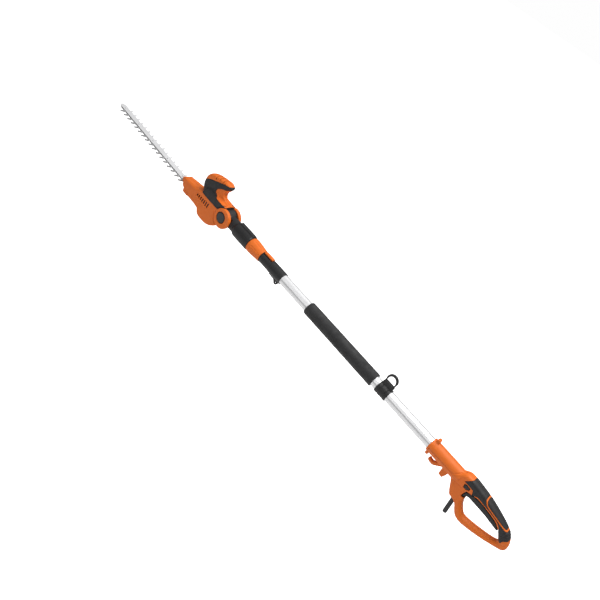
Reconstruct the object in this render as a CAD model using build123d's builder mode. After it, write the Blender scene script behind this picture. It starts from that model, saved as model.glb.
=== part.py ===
"""Long-reach pole hedge trimmer: pole, rear handle and tilting cutting head.

X runs along the pole, from the cutting head (-X, front) to the rear handle
(+X, rear).  X = 0 is the front rim of the rear handle.  +Z is up, -Y is the
left side of the machine as the user holds it.  Millimetres.
"""
from build123d import *
import math
import os

# ---------------------------------------------------------------- dimensions
# pole
TUBE_R = 17.5
TUBE_WALL = 1.9
TUBE_FRONT = -722.0
TUBE_REAR = 44.0
SOCKET_BORE_R = TUBE_R + 0.06    # close fit: coupling socket and rear handle
SLEEVE_BORE_R = TUBE_R + 0.08    # looser fit: foam grip and strap clamp

# head pivot
PIVOT_X = -961.5
PIVOT_AT = (PIVOT_X, 0)
HEAD_TILT = 2.0              # head's rest angle, blade tip up, degrees
EAR_R = 34.8
EAR_IN = 17.3                # inner face of each ear, from the middle plane
EAR_OUT = 30.0
EAR_BEVEL = 2.01
BUTTON_R = 18.0
SLOT_R = 32.0                # slot between the ears
PIN_R = 5.0

# knuckle and coupling
TONGUE_R = 29.5
TONGUE_HALF = 16.8
NECK_HALF = 14.0             # neck, where it passes between the ears
NECK_R = 22.0
KNUCKLE_R = 27.0
KNUCKLE_FRONT = 61.5         # from the pivot
KNUCKLE_REAR = 134.5         # from the pivot
SLEEVE_R = 21.4
SLEEVE_REAR = -802.0
SPIGOT_R = 17.8
SPIGOT_BORE_R = 14.0
SPIGOT_FRONT = -818.0
COLLAR_FRONT = -826.2
COLLAR_REAR = -765.5
SOCKET_REAR = -658.5
SOCKET_R = 20.0
LATCH_X = -758.0             # plunger of the release latch
LATCH_R = 3.0

# rear handle
HANDLE_R = 20.7
HANDLE_HALF = 17.0
LOOP_HALF = 14.0
LOOP_CAVITY_HALF = 11.2
CAVITY_HALF = 12.7
GRIP_T = 1.7                 # soft grip
TRIGGER_HALF = 12.2
TRIGGER_HINGE = (262.0, -11.5)
TRIGGER_PIN_R = 1.5

# cutting head
HEAD_HALF = 25.0
HEAD_WALL = 2.6
HOOK_HALF = 19.0
HOOK_WALL = 3.2
PAD_T = 1.3
THROUGH = 120                # cuts right through the head either way
REAR_BLOCK = 130             # length of the cuts along the rear block's corners

# gears and motor, in the head's frame
MODULE = 0.7
GEAR_TEETH = 56
PINION_TEETH = 10
CENTRES = MODULE * (GEAR_TEETH + PINION_TEETH) / 2
GEAR_X = -85.0
MOTOR_X = GEAR_X + CENTRES
GEAR_AT = (GEAR_X, 0)
MOTOR_AT = (MOTOR_X, 0)
THROW = 4.0                  # eccentric throw, half the blade stroke
CASE_BOTTOM = -31.5
CASE_CUT = CASE_BOTTOM - 0.5
PLATE_BOTTOM = -63.2
PLATE_T = 3.0
MOTOR_SHAFT_R = 2.5
ON_SHAFT_R = 2.52            # bore of the parts fixed on the motor shaft
GEAR_SHAFT_R = 3.5
BEARING_R = 7.0
PLATE_BEARING_R = 4.5
TOP_BEARING_R = 6.0
BUSH_R = 5.5
BEARING_FIT = 0.02           # radial clearance round bearings and bushes
RUNNING_FIT = 0.05           # radial clearance round the shafts

# blades, in the head's frame
PITCH = 24.4
TEETH = 17
BAR_HALF = 12.0
TOOTH_TIP = 28.0
FIRST_TOOTH = -624.5
BLADE_TIP = -664.0
RAIL_TOP = -31.8
RAIL_T = 2.8
RAIL_BOTTOM = RAIL_TOP - RAIL_T
BLADE_T = 2.0
BLADE_GAP = 0.1
STACK_BOTTOM = RAIL_BOTTOM - 2 * BLADE_T - 0.35
RAIL_BOLTS = [(-150, 0), (-115, 0), (-190, 0)]
GUIDE_SCREWS = [(-150 - 97 * k, 0) for k in range(1, 6)]
BOLT_R = 2.0
BOLT_HEAD_R = 3.8

# housing screws, driven in from the right
SCREW_R = 1.5
SCREW_HOLE_R = 1.6
SCREW_HOLE_HALF = 9
SCREW_HEAD_R = 3.0
SCREW_HEAD_T = 2.2
SCREW_RECESS_R = 3.3
RECESS_START = 30            # outside the shells
SCREW_SEAT = 9               # bottom of the recess, from the middle plane
RIM_SCREW_SEAT = 6

# Plane.XZ faces -Y, so its top is the left half.
HALVES = (("left", Keep.TOP), ("right", Keep.BOTTOM))

COS_TILT = math.cos(math.radians(HEAD_TILT))
SIN_TILT = math.sin(math.radians(HEAD_TILT))
HEAD_ALONG = (COS_TILT, 0, -SIN_TILT)
HEAD_UP = (SIN_TILT, 0, COS_TILT)


# ------------------------------------------------------------------- planes
# The head's own frame has its origin on the pivot axis, x along the head
# (rearward) and u square to it (upward).
def side(y=0.0):
    """Upright plane along the pole, facing -Y: local x = X, local y = Z."""
    return Plane(origin=(0, y, 0), x_dir=(1, 0, 0), z_dir=(0, -1, 0))


def across(x):
    """Plane across the pole, facing +X: local x = Y, local y = Z."""
    return Plane(origin=(x, 0, 0), x_dir=(0, 1, 0), z_dir=(1, 0, 0))


def head_point(x, u):
    """A point of the head's middle plane."""
    return (
        PIVOT_X + COS_TILT * x + SIN_TILT * u, 0, -SIN_TILT * x + COS_TILT * u,
    )


def head_side(y=0.0):
    """Upright plane along the head, facing -Y: local x, y = head x, u."""
    return Plane(origin=(PIVOT_X, y, 0), x_dir=HEAD_ALONG, z_dir=(0, -1, 0))


def head_top(u, x=0.0):
    """Plane at height u, facing up: local x = head x from x, local y = Y."""
    return Plane(origin=head_point(x, u), x_dir=HEAD_ALONG, z_dir=HEAD_UP)


def head_across(x):
    """Plane across the head, facing rearward: local x = Y, local y = u."""
    return Plane(origin=head_point(x, 0), x_dir=(0, 1, 0), z_dir=HEAD_ALONG)


# ------------------------------------------------------------------ helpers
def outline(points, mode=Mode.ADD):
    """Fill the closed polygon through the points in the sketch now open."""
    with BuildLine() as line:
        Polyline(*points, close=True)
    make_face(line.edges(), mode=mode)


def flip_x(points):
    return [(-x, y) for x, y in points]


def flip_y(points):
    return [(x, -y) for x, y in points]


def symmetric(half):
    """Closed outline from the points of its -y half."""
    return [*half, *reversed(flip_y(half))]


def save(builder, name):
    """Label a piece and write its STEP file."""
    builder.part.label = name
    export_step(builder.part, f"parts/{name}.step")


def gear_points(teeth, phase_deg, thin=0.06, pressure=25.0):
    """Closed outline of an involute spur gear, a tooth centred on phase_deg.

    thin is taken off each tooth's thickness; pressure is in degrees.
    """
    alpha = math.radians(pressure)
    pitch_r = MODULE * teeth / 2
    base_r = pitch_r * math.cos(alpha)
    tip_r = pitch_r + 0.8 * MODULE
    root_r = pitch_r - 1.05 * MODULE
    start_r = max(base_r, root_r)
    involute = math.tan(alpha) - alpha
    half_tooth = math.pi / (2 * teeth) - thin / (2 * pitch_r)
    flank = []
    for k in range(5):
        radius = start_r + (tip_r - start_r) * k / 4
        angle = math.acos(min(1.0, base_r / radius))
        flank.append((radius, half_tooth + involute - (math.tan(angle) - angle)))
    if root_r < base_r:
        flank.insert(0, (root_r, flank[0][1]))
    points = []
    for k in range(teeth):
        centre = math.radians(phase_deg) + 2 * math.pi * k / teeth
        points += [(radius, centre - half) for radius, half in flank]
        points += [(radius, centre + half) for radius, half in reversed(flank)]
    return [(radius * math.cos(angle), radius * math.sin(angle)) for radius, angle in points]


def blade_base(level):
    """Underside of the upper (1) or lower (2) blade."""
    return RAIL_BOTTOM - level * (BLADE_T + BLADE_GAP)


os.makedirs("parts", exist_ok=True)

# ================================================================ POLE GROUP
# Profiles are (X, radius), side views (X, Z).

# Aluminium pole
with BuildPart() as pole_tube:
    with BuildSketch(across(TUBE_FRONT)):
        Circle(TUBE_R)
        Circle(TUBE_R - TUBE_WALL, mode=Mode.SUBTRACT)
    extrude(amount=TUBE_REAR - TUBE_FRONT)
save(pole_tube, "pole_tube")

# Power lead running inside the pole
LEAD_FRONT = -880
LEAD_LENGTH = 950
LEAD_R = 3.2
with BuildPart() as pole_lead:
    with BuildSketch(across(LEAD_FRONT)):
        Circle(LEAD_R)
    extrude(amount=LEAD_LENGTH)
save(pole_lead, "pole_lead")

# Black coupling socket on the pole's front end, with a spigot, a keel rib and
# a hanging eyelet
SPIGOT_REAR = COLLAR_REAR + 0.3
SOCKET_SEAT = TUBE_FRONT - 0.3
SOCKET_PROFILE = [
    (SPIGOT_FRONT, SPIGOT_BORE_R), (SPIGOT_FRONT, SPIGOT_R), (SPIGOT_REAR, SPIGOT_R),
    (SPIGOT_REAR, SOCKET_R - 0.5), (-719, SOCKET_R - 0.5), (-717, SOCKET_R),
    (SOCKET_REAR - 1.5, SOCKET_R), (SOCKET_REAR, SOCKET_R - 1.5),
    (SOCKET_REAR, SOCKET_BORE_R), (SOCKET_SEAT, SOCKET_BORE_R), (SOCKET_SEAT, SPIGOT_BORE_R),
]
KEEL = [
    (-717, -18.5), (-713, -25.5), (-690, -26.5), (-684, -33), (-677, -37),
    (-671, -34.5), (-668.5, -29), (-668, -24), (-659, -23), (-659, -18.5),
]
EYELET_AT = (-677, -30.5)
EYELET_R = 7
EYELET_HOLE_R = 3.0
KEEL_HALF = 3.2
RECESS_FRONT = -763.9
RECESS_LENGTH = 41.4
RECESS_Z = 20.7
with BuildPart() as pole_socket:
    with BuildSketch(side()):
        outline(SOCKET_PROFILE)
    revolve(axis=Axis.X)
    with BuildSketch(side()):
        outline(KEEL)
        with Locations(EYELET_AT):
            Circle(EYELET_R)
    extrude(amount=KEEL_HALF, both=True)
    with BuildSketch(side()):
        with Locations(EYELET_AT):
            Circle(EYELET_HOLE_R)
    extrude(amount=12, both=True, mode=Mode.SUBTRACT)
    # window for the release latch's plunger
    with BuildSketch(Plane(origin=(LATCH_X, 0, 12), x_dir=(1, 0, 0), z_dir=(0, 0, 1))):
        Circle(LATCH_R + 0.3)
    extrude(amount=10, mode=Mode.SUBTRACT)
    # recess the latch lies in
    with BuildSketch(across(RECESS_FRONT)):
        with Locations((0, RECESS_Z)):
            Rectangle(19, 10)
    extrude(amount=RECESS_LENGTH, mode=Mode.SUBTRACT)
save(pole_socket, "pole_socket")

# Orange release tab on the socket, with a plunger below and three ridges on top
LATCH_FRONT = -763.4
LATCH_BOTTOM = 18.2
LATCH_TOP = 23.2
LATCH_SIDE = [
    (LATCH_FRONT, LATCH_BOTTOM), (LATCH_FRONT, 21.4), (-750, 23.0), (-736, LATCH_TOP),
    (-723.6, 22.0), (-723.0, LATCH_BOTTOM),
]
LATCH_HALF = 6.4
PLUNGER_BOTTOM = 15.2
RIDGE_X = (-737, -741, -745)
with BuildPart() as release_latch:
    with BuildSketch(side()):
        outline(LATCH_SIDE)
    extrude(amount=LATCH_HALF, both=True)
    with BuildSketch(
        Plane(origin=(LATCH_X, 0, PLUNGER_BOTTOM), x_dir=(1, 0, 0), z_dir=(0, 0, 1))
    ):
        Circle(LATCH_R)
    extrude(amount=5)
    with Locations(*[(x, 0, LATCH_TOP) for x in RIDGE_X]):
        Box(1.6, 9, 1.6)
save(release_latch, "release_latch")

# Orange twist collar, fluted
COLLAR_LIP = COLLAR_FRONT + 0.4
COLLAR_STEP = SLEEVE_REAR + 1
COLLAR_PROFILE = [
    (COLLAR_LIP, SLEEVE_R + 0.1), (COLLAR_LIP, 24.4),
    (COLLAR_FRONT + 3, 25.6), (COLLAR_FRONT + 12, 25.8), (COLLAR_FRONT + 24, 25.2),
    (COLLAR_FRONT + 38, 23.8), (COLLAR_FRONT + 50, 22.4), (COLLAR_REAR, 21.6),
    (COLLAR_REAR, SPIGOT_R + 0.15), (COLLAR_STEP, SPIGOT_R + 0.15),
    (COLLAR_STEP, SLEEVE_R + 0.1),
]
FLUTES = 8
FLUTE_X = -797
FLUTE_R = 23.7               # floor of the flutes, from the pole's axis
FLUTE_SIN = 0.08             # lean of the flutes along the collar's taper
FLUTE_COS = 0.9968
with BuildPart() as twist_collar:
    with BuildSketch(side()):
        outline(COLLAR_PROFILE)
    revolve(axis=Axis.X)
    for k in range(FLUTES):
        angle = math.radians(360 / FLUTES * (k + 0.5))
        out_y = math.sin(angle)
        out_z = math.cos(angle)
        flute = Plane(
            origin=(FLUTE_X, FLUTE_R * out_y, FLUTE_R * out_z),
            x_dir=(FLUTE_COS, -FLUTE_SIN * out_y, -FLUTE_SIN * out_z),
            z_dir=(FLUTE_SIN, FLUTE_COS * out_y, FLUTE_COS * out_z),
        )
        with BuildSketch(flute):
            SlotOverall(34, 4.4)
        extrude(amount=4, mode=Mode.SUBTRACT)
save(twist_collar, "twist_collar")

# Black knuckle: pivot tongue, neck, body and rear sleeve
BODY_START = PIVOT_X + 56
KNUCKLE_END = PIVOT_X + KNUCKLE_REAR
KNUCKLE_PROFILE = [
    (BODY_START, 0), (BODY_START, NECK_R), (PIVOT_X + 58, NECK_R + 2.4),
    (PIVOT_X + 62, NECK_R + 4.2), (PIVOT_X + 68, KNUCKLE_R), (KNUCKLE_END - 4, KNUCKLE_R),
    (KNUCKLE_END, KNUCKLE_R - 2.6), (KNUCKLE_END, SLEEVE_R),
    (SLEEVE_REAR, SLEEVE_R), (SLEEVE_REAR, 0),
]
KNUCKLE_BORE_FRONT = -830
LEAD_PASSAGE_R = 9
# radius, depth from the tongue's face
TONGUE_POCKETS = ((16.4, 1.7), (9.6, 13.3))
with BuildPart() as knuckle:
    with BuildSketch(side()):
        with Locations(PIVOT_AT):
            Circle(TONGUE_R)
    extrude(amount=TONGUE_HALF, both=True)
    with BuildSketch(across(PIVOT_X + 8)):
        Circle(NECK_R)
        Rectangle(2 * NECK_HALF, 60, mode=Mode.INTERSECT)
    extrude(amount=30)
    with BuildSketch(across(PIVOT_X + EAR_R + 2)):
        Circle(NECK_R)
    extrude(amount=KNUCKLE_FRONT - EAR_R - 4)
    with BuildSketch(side()):
        outline(KNUCKLE_PROFILE)
    revolve(axis=Axis.X)
    # raised pad along the top
    with BuildSketch(across(PIVOT_X + 64)):
        with Locations((0, 24)):
            RectangleRounded(17, 11.5, 3)
    extrude(amount=KNUCKLE_REAR - 66)
    # bore for the socket's spigot, and the lead's passage
    with BuildSketch(across(KNUCKLE_BORE_FRONT)):
        Circle(SPIGOT_R + 0.1)
    extrude(amount=40, mode=Mode.SUBTRACT)
    with BuildSketch(across(PIVOT_X + 34)):
        Circle(LEAD_PASSAGE_R)
    extrude(amount=120, mode=Mode.SUBTRACT)
    # pockets for the pivot buttons, and the pin's bore
    for sign in (1, -1):
        for radius, depth in TONGUE_POCKETS:
            with BuildSketch(side(sign * TONGUE_HALF)):
                with Locations(PIVOT_AT):
                    Circle(radius)
            extrude(amount=sign * depth, mode=Mode.SUBTRACT)
    with BuildSketch(side()):
        with Locations(PIVOT_AT):
            Circle(PIN_R + 0.05)
    extrude(amount=20, both=True, mode=Mode.SUBTRACT)
save(knuckle, "knuckle")

# Steel pivot pin
with BuildPart() as pivot_pin:
    with BuildSketch(side()):
        with Locations(PIVOT_AT):
            Circle(PIN_R)
    extrude(amount=24, both=True)
save(pivot_pin, "pivot_pin")

# Toothed index plates let into the tongue's two faces
INDEX_R = 16.2
INDEX_BORE_R = 10.0
INDEX_T = 1.5
INDEX_NOTCHES = 24
NOTCH_CENTRE_R = 10.4
NOTCH_R = 0.7
with BuildPart() as index_plates:
    for sign in (1, -1):
        with BuildSketch(side(sign * (TONGUE_HALF - 0.1))):
            with Locations(PIVOT_AT):
                Circle(INDEX_R)
                Circle(INDEX_BORE_R, mode=Mode.SUBTRACT)
                with PolarLocations(NOTCH_CENTRE_R, INDEX_NOTCHES):
                    Circle(NOTCH_R, mode=Mode.SUBTRACT)
        extrude(amount=sign * INDEX_T)
save(index_plates, "index_plates")

# Springs behind the pivot buttons, drawn at their pressed length
with BuildPart() as pivot_springs:
    for sign in (1, -1):
        with BuildLine() as coil:
            Helix(
                pitch=1.2, height=3.0, radius=7.4,
                center=(PIVOT_X, sign * 4.4, 0), direction=(0, sign, 0),
            )
        with BuildSketch(Plane(coil.line @ 0, z_dir=coil.line % 0)):
            Circle(0.55)
        sweep(path=coil.line)
save(pivot_springs, "pivot_springs")

# Foam grip
FOAM_PROFILE = [
    (-532, SLEEVE_BORE_R), (-532, 20.8), (-530.5, 22.1), (-528, 22.5),
    (-235, 22.5), (-232.5, 22.1), (-231, 20.8), (-231, SLEEVE_BORE_R),
]
with BuildPart() as foam_grip:
    with BuildSketch(side()):
        outline(FOAM_PROFILE)
    revolve(axis=Axis.X)
save(foam_grip, "foam_grip")

# Strap clamp: a grooved band with a standing eye
BAND_PROFILE = [
    (-214, SLEEVE_BORE_R), (-214, 19.4), (-213, 20.2), (-204, 20.2), (-203.4, 19.2),
    (-201.6, 19.2), (-201, 20.2), (-184.5, 20.2), (-183.9, 19.2), (-182.1, 19.2),
    (-181.5, 20.2), (-172.5, 20.2), (-171.5, 19.4), (-171.5, SLEEVE_BORE_R),
]
CLAMP_BASE = [(-212, 15), (-212, 30), (-206, 33.5), (-180, 33.5), (-174, 30), (-174, 15)]
EYE_WINDOW = [(-207, 33.5), (-179, 33.5), (-179, 46), (-207, 46)]
EYE_X = -193
with BuildPart() as strap_clamp:
    with BuildSketch(side()):
        outline(BAND_PROFILE)
    revolve(axis=Axis.X)
    with BuildSketch(side()):
        outline(CLAMP_BASE)
    extrude(amount=6.0, both=True)
    with BuildSketch(side()):
        with Locations((EYE_X, 33)):
            Rectangle(36, 30)
        with Locations((EYE_X, 46)):
            Circle(19)
    extrude(amount=3.2, both=True)
    with BuildSketch(side()):
        outline(EYE_WINDOW)
        with Locations((EYE_X, 45)):
            Circle(12.6)
    extrude(amount=5, both=True, mode=Mode.SUBTRACT)
    with BuildSketch(across(-216)):
        Circle(SLEEVE_BORE_R)
    extrude(amount=48, mode=Mode.SUBTRACT)
save(strap_clamp, "strap_clamp")

# =============================================================== REAR HANDLE
# Side views are (X, Z).
TOP_EDGE = [
    (107, 21), (114, 25), (122, 30), (129, 31), (144, 30.4), (163, 28), (187, 25),
    (211, 21), (235, 15), (259, 8), (282, 0), (292, -5),
]
HANDLE_OUTLINE = [
    (0, 19.5), (94, 20.2), *TOP_EDGE, (300, -12), (306.5, -20), (312.5, -30),
    (315.5, -41.5), (314, -51), (306, -60), (293, -69.5), (278, -78.5), (262, -85),
    (241.5, -93), (222, -99.5), (202.5, -102.8), (190, -103), (180, -100.5), (172, -94),
    (163, -83), (153, -71), (145, -66), (137, -64.5), (126, -64), (115, -49),
    (104, -30), (95, -18), (88, -15), (0, -15),
]
# top of the hand opening
OPENING_TOP = [(273, -24), (266, -18), (251, -8.5), (227, -4.5), (199, -1), (172, -4)]
OPENING = [
    (158, -18), (160, -30), (164, -42), (175, -61), (184, -73), (192, -79),
    (203, -80.5), (226, -76), (244.7, -71.2), (262, -66.5), (280, -61.5), (287, -58),
    (290.5, -53), (291, -47), (288, -40), (281, -31.5), *OPENING_TOP, (168, -8),
]
UPPER_PART = [
    (80, -12), (80, 20.2), *TOP_EDGE, (296, -9), (300, -40), (289, -44), *OPENING_TOP,
    (166, -12), (140, -22), (100, -14),
]
CORD_HOOK = [
    (24, -30), (21, -38), (28, -43), (42, -43.5), (54, -33), (68, -19), (68, -14),
    (58, -14), (46, -24.5), (38, -33), (31, -33),
]
CORD_BLOCK = [(65, -14), (69, -43), (82, -45), (86, -30), (88, -14)]
# the cavity's top, and its edge above the hand opening
CAVITY_TOP = [
    (116, 23), (123, 27), (129, 28.2), (144, 27.6), (163, 25.2), (187, 22.2),
    (211, 18.2), (235, 12.2), (258, 5),
]
CAVITY_LOWER_EDGE = [
    (268, -14.6), (252, -5.4), (227, -1.4), (199, 2.0), (170, -1.0), (163, -7),
]
CAVITY = [
    (52, -12.5), (52, 17), (94, 17.4), (108, 18.4), *CAVITY_TOP,
    (281, -3.4), (290, -8), (297, -16.5), (303, -27), (305, -37), (293, -40),
    (284, -31), (275, -22), *CAVITY_LOWER_EDGE, (155, -20), (157, -31), (161, -43),
    (172, -63), (181.5, -75.5), (191, -82), (203, -83.5), (226, -79), (245.4, -74.2),
    (262, -69.5), (281, -64.5), (290, -59.8), (294, -54), (300, -48), (311.5, -46),
    (311, -50), (304.2, -57.6), (291.5, -66.9), (277, -75.8), (261, -82.3),
    (240.8, -90.2), (221.5, -96.6), (202.5, -99.9), (190.5, -100), (181.5, -98),
    (174.2, -92.6), (165, -81.2), (155, -69), (146, -63.4), (137, -61.8), (128, -61.4),
    (117.5, -47.6), (106.4, -28.6), (97, -15.8), (89, -12.5),
]
UPPER_CAVITY = [
    (110, -10), (110, 18.8), *CAVITY_TOP, (268, 1), (272, -10), *CAVITY_LOWER_EDGE,
    (150, -14),
]
TRIGGER_SLOT = [
    (148.5, -34), (148.3, -25), (149.5, -14), (153, -8), (160, -5.6), (168, -3.5),
    (172, -3.2), (199, -0.4), (227, -3.8), (252, -8.0), (268, -16.6), (274, -24),
    (268, -27), (160, -27), (160, -34),
]
TRIGGER_SWING = [
    (148.5, -34), (148, -6), (152, 1.5), (160, 4), (172, 5), (200, 6), (228, 0),
    (250, -4), (268, -12), (274, -20), (274, -26), (160, -27),
]
GRIP_REGION = [
    (129.6, 11), (150, 10.3), (162, 9.3), (168, 5), (171, 0), (199, 3.5), (227, -0.5),
    (251, -4.0), (259, -7.5), (268, -15), (272, -22), (281, -31), (286, -38),
    (292, -38.5), (298, -28), (302, -22.5), (330, -10), (330, 45), (152, 45), (145.5, 30),
]
UNDER_GRIP = [
    (110, -60), (110, 23), (123, 28.4), (130, 29.0), (144, 28.4), (163, 26.0),
    (187, 23.0), (211, 19.0), (235, 13.0), (258.4, 6), (281, -2.2), (290.8, -6.6),
    (298, -15.4), (305, -27.5), (311, -38), (311, -60),
]
LOCK_WINDOW = [
    (131.5, 5), (134.5, -7.4), (144.5, -5.6), (151.5, 1), (149.5, 6.4), (136, 6.6),
]
UPPER_RIM_SCREW = (11, 26.5)
LOWER_RIM_SCREW = (9, -27.5)
RIM_SCREWS = [UPPER_RIM_SCREW, LOWER_RIM_SCREW]
HANDLE_SCREWS = [(112, 4), (120, -48), (183, -86), (306, -53), (212, 12)]
UPPER_LUG_R = 5.4
LOWER_LUG_R = 5.2

# Plane across the supply cord where it leaves the handle, facing outward
CORD = Plane(origin=(140.6, 0, -57), x_dir=(0, 1, 0), z_dir=(9, 0, -46))

# Envelope of the whole handle
with BuildPart() as handle_envelope:
    with BuildSketch(side()):
        outline(HANDLE_OUTLINE)
        outline(OPENING, mode=Mode.SUBTRACT)
    extrude(amount=LOOP_HALF, both=True)
    # wider upper part
    with BuildSketch(side()):
        outline(UPPER_PART)
    extrude(amount=HANDLE_HALF, both=True)
    with BuildSketch(across(0)):
        Circle(HANDLE_R)
    extrude(amount=104)
    # screw lugs above and below the rim
    with BuildSketch(side()):
        with Locations(UPPER_RIM_SCREW):
            Circle(UPPER_LUG_R)
        with Locations((UPPER_RIM_SCREW[0], 21)):
            Rectangle(2 * UPPER_LUG_R, 11)
        with Locations(LOWER_RIM_SCREW):
            Circle(LOWER_LUG_R)
        with Locations((LOWER_RIM_SCREW[0], -21)):
            Rectangle(2 * LOWER_LUG_R, 13)
    extrude(amount=8, both=True)
    # cord hook and cord block under the handle's front end
    with BuildSketch(side()):
        outline(CORD_HOOK)
    extrude(amount=6, both=True)
    with BuildSketch(side()):
        outline(CORD_BLOCK)
    extrude(amount=10, both=True)

# Space inside the handle
with BuildPart() as handle_cavity:
    with BuildSketch(side()):
        outline(CAVITY)
    extrude(amount=LOOP_CAVITY_HALF, both=True)
    with BuildSketch(side()):
        outline(UPPER_CAVITY)
    extrude(amount=CAVITY_HALF, both=True)
    with BuildSketch(across(46)):
        Circle(15.5)
    extrude(amount=60)
    # seat of the pole
    with BuildSketch(across(-1)):
        Circle(SOCKET_BORE_R)
    extrude(amount=47.2)

# Room for the trigger through its whole swing
with BuildPart() as trigger_room:
    with BuildSketch(side()):
        outline(TRIGGER_SLOT)
    extrude(amount=20, both=True)
    with BuildSketch(side()):
        outline(TRIGGER_SWING)
    extrude(amount=CAVITY_HALF, both=True)

# Skin of the soft grip on both sides and over the top
with BuildPart() as grip_skin:
    with BuildSketch(side()):
        outline(GRIP_REGION)
    extrude(amount=30, both=True)
    with BuildSketch(side()):
        outline(UNDER_GRIP)
    extrude(amount=HANDLE_HALF - GRIP_T, both=True, mode=Mode.SUBTRACT)

# Handle shells
for side_name, half in HALVES:
    with BuildPart() as handle_shell:
        add(handle_envelope.part)
        add(handle_cavity.part, mode=Mode.SUBTRACT)
        # screw bosses
        with BuildSketch(side()):
            with Locations(*HANDLE_SCREWS):
                Circle(3.6)
        extrude(amount=12.9, both=True)
        add(trigger_room.part, mode=Mode.SUBTRACT)
        add(grip_skin.part, mode=Mode.SUBTRACT)
        # lock-off window
        with BuildSketch(side()):
            outline(LOCK_WINDOW)
        extrude(amount=25, both=True, mode=Mode.SUBTRACT)
        # cord sleeve's hole
        with BuildSketch(CORD):
            Circle(6.5)
        extrude(amount=30, mode=Mode.SUBTRACT)
        # slot in the cord block
        with BuildSketch(side()):
            with Locations((84, -30)):
                Rectangle(12, 16)
        extrude(amount=6, both=True, mode=Mode.SUBTRACT)
        # screw holes, and the recesses for the heads
        with BuildSketch(side()):
            with Locations(*RIM_SCREWS, *HANDLE_SCREWS):
                Circle(SCREW_HOLE_R)
        extrude(amount=SCREW_HOLE_HALF, both=True, mode=Mode.SUBTRACT)
        for centres, seat in ((RIM_SCREWS, RIM_SCREW_SEAT), (HANDLE_SCREWS, SCREW_SEAT)):
            with BuildSketch(side(RECESS_START)):
                with Locations(*centres):
                    Circle(SCREW_RECESS_R)
            extrude(amount=RECESS_START - seat, mode=Mode.SUBTRACT)
        split(bisect_by=Plane.XZ, keep=half)
    save(handle_shell, f"handle_shell_{side_name}")

# Soft grip halves
for side_name, half in HALVES:
    with BuildPart() as handle_grip:
        add(handle_envelope.part)
        add(grip_skin.part, mode=Mode.INTERSECT)
        with BuildSketch(side(RECESS_START)):
            with Locations(*HANDLE_SCREWS):
                Circle(SCREW_RECESS_R + 0.1)
        extrude(amount=RECESS_START - SCREW_SEAT, mode=Mode.SUBTRACT)
        split(bisect_by=Plane.XZ, keep=half)
    save(handle_grip, f"handle_grip_{side_name}")

# Handle screws: shanks, then heads
# centres, radius, left end Y, length
HANDLE_SCREW_STEPS = (
    (HANDLE_SCREWS, SCREW_R, -8, 17.4),
    (RIM_SCREWS, SCREW_R, -6, 12.4),
    (HANDLE_SCREWS, SCREW_HEAD_R, SCREW_SEAT + 0.2, SCREW_HEAD_T),
    (RIM_SCREWS, SCREW_HEAD_R, RIM_SCREW_SEAT + 0.2, SCREW_HEAD_T),
)
with BuildPart() as handle_screws:
    for centres, radius, start, length in HANDLE_SCREW_STEPS:
        with BuildSketch(side(start)):
            with Locations(*centres):
                Circle(radius)
        extrude(amount=-length)
save(handle_screws, "handle_screws")

# Trigger paddle, hinged at its rear end
TRIGGER_OUTLINE = [
    (150.5, -31), (150, -25), (152, -17), (156, -10.5), (162, -8.4), (169, -7.4),
    (172, -5.0), (199, -2.0), (227, -5.5), (251, -9.5), (262, -15.5), (266, -18.5),
    (270, -22.5), (266, -24.5), (247, -22.5), (224, -20), (200, -19.5), (176, -19.5),
    (164, -20), (157, -24), (154.5, -30),
]
with BuildPart() as trigger:
    with BuildSketch(side()):
        outline(TRIGGER_OUTLINE)
    extrude(amount=TRIGGER_HALF, both=True)
    fillet(trigger.edges().group_by(Axis.Y)[0] + trigger.edges().group_by(Axis.Y)[-1], 1.2)
    # hinge barrel, joined to the paddle below it
    with BuildSketch(side()):
        with Locations(TRIGGER_HINGE):
            Circle(3.4)
        with Locations((TRIGGER_HINGE[0] - 0.6, TRIGGER_HINGE[1] - 3.5)):
            Rectangle(5, 5)
    extrude(amount=9, both=True)
    with BuildSketch(side()):
        with Locations(TRIGGER_HINGE):
            Circle(TRIGGER_PIN_R + 0.05)
    extrude(amount=20, both=True, mode=Mode.SUBTRACT)
save(trigger, "trigger")

# Hinge pin of the trigger
with BuildPart() as trigger_pin:
    with BuildSketch(side()):
        with Locations(TRIGGER_HINGE):
            Circle(TRIGGER_PIN_R)
    extrude(amount=12.6, both=True)
save(trigger_pin, "trigger_pin")

# Upright return spring above the trigger
with BuildPart() as trigger_spring:
    with BuildLine() as coil:
        Helix(pitch=2.6, height=10.4, radius=3.0, center=(222, 0, -3.0))
    with BuildSketch(Plane(coil.line @ 0, z_dir=coil.line % 0)):
        Circle(0.45)
    sweep(path=coil.line)
save(trigger_spring, "trigger_spring")

# Cross-bolt safety button just ahead of the trigger
LOCK_BUTTON = [
    (132.4, 4.4), (135.0, -6.4), (144.2, -4.8), (150.4, 1.4), (148.9, 5.5), (136.4, 5.8),
]
with BuildPart() as lock_off_button:
    with BuildSketch(side()):
        outline(LOCK_BUTTON)
    extrude(amount=15.6, both=True)
save(lock_off_button, "lock_off_button")

# Micro switch above the trigger: its body, and the plunger under it
with BuildPart() as power_switch:
    with BuildSketch(side()):
        with Locations((184, 13.2)):
            Rectangle(27, 10.4)
    extrude(amount=6, both=True)
    with BuildSketch(side()):
        with Locations((191, 6.9)):
            Rectangle(4, 2.4)
    extrude(amount=2, both=True)
save(power_switch, "power_switch")

# Supply cord's sleeve, at the handle's lower front corner: flange, then tube
SLEEVE_START = CORD.offset(-5)
CORD_R = 4.0
with BuildPart() as cord_sleeve:
    for radius, length in ((8.4, 4), (6.3, 69)):
        with BuildSketch(SLEEVE_START):
            Circle(radius)
            Circle(CORD_R + 0.1, mode=Mode.SUBTRACT)
        extrude(amount=length)
save(cord_sleeve, "cord_sleeve")

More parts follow.
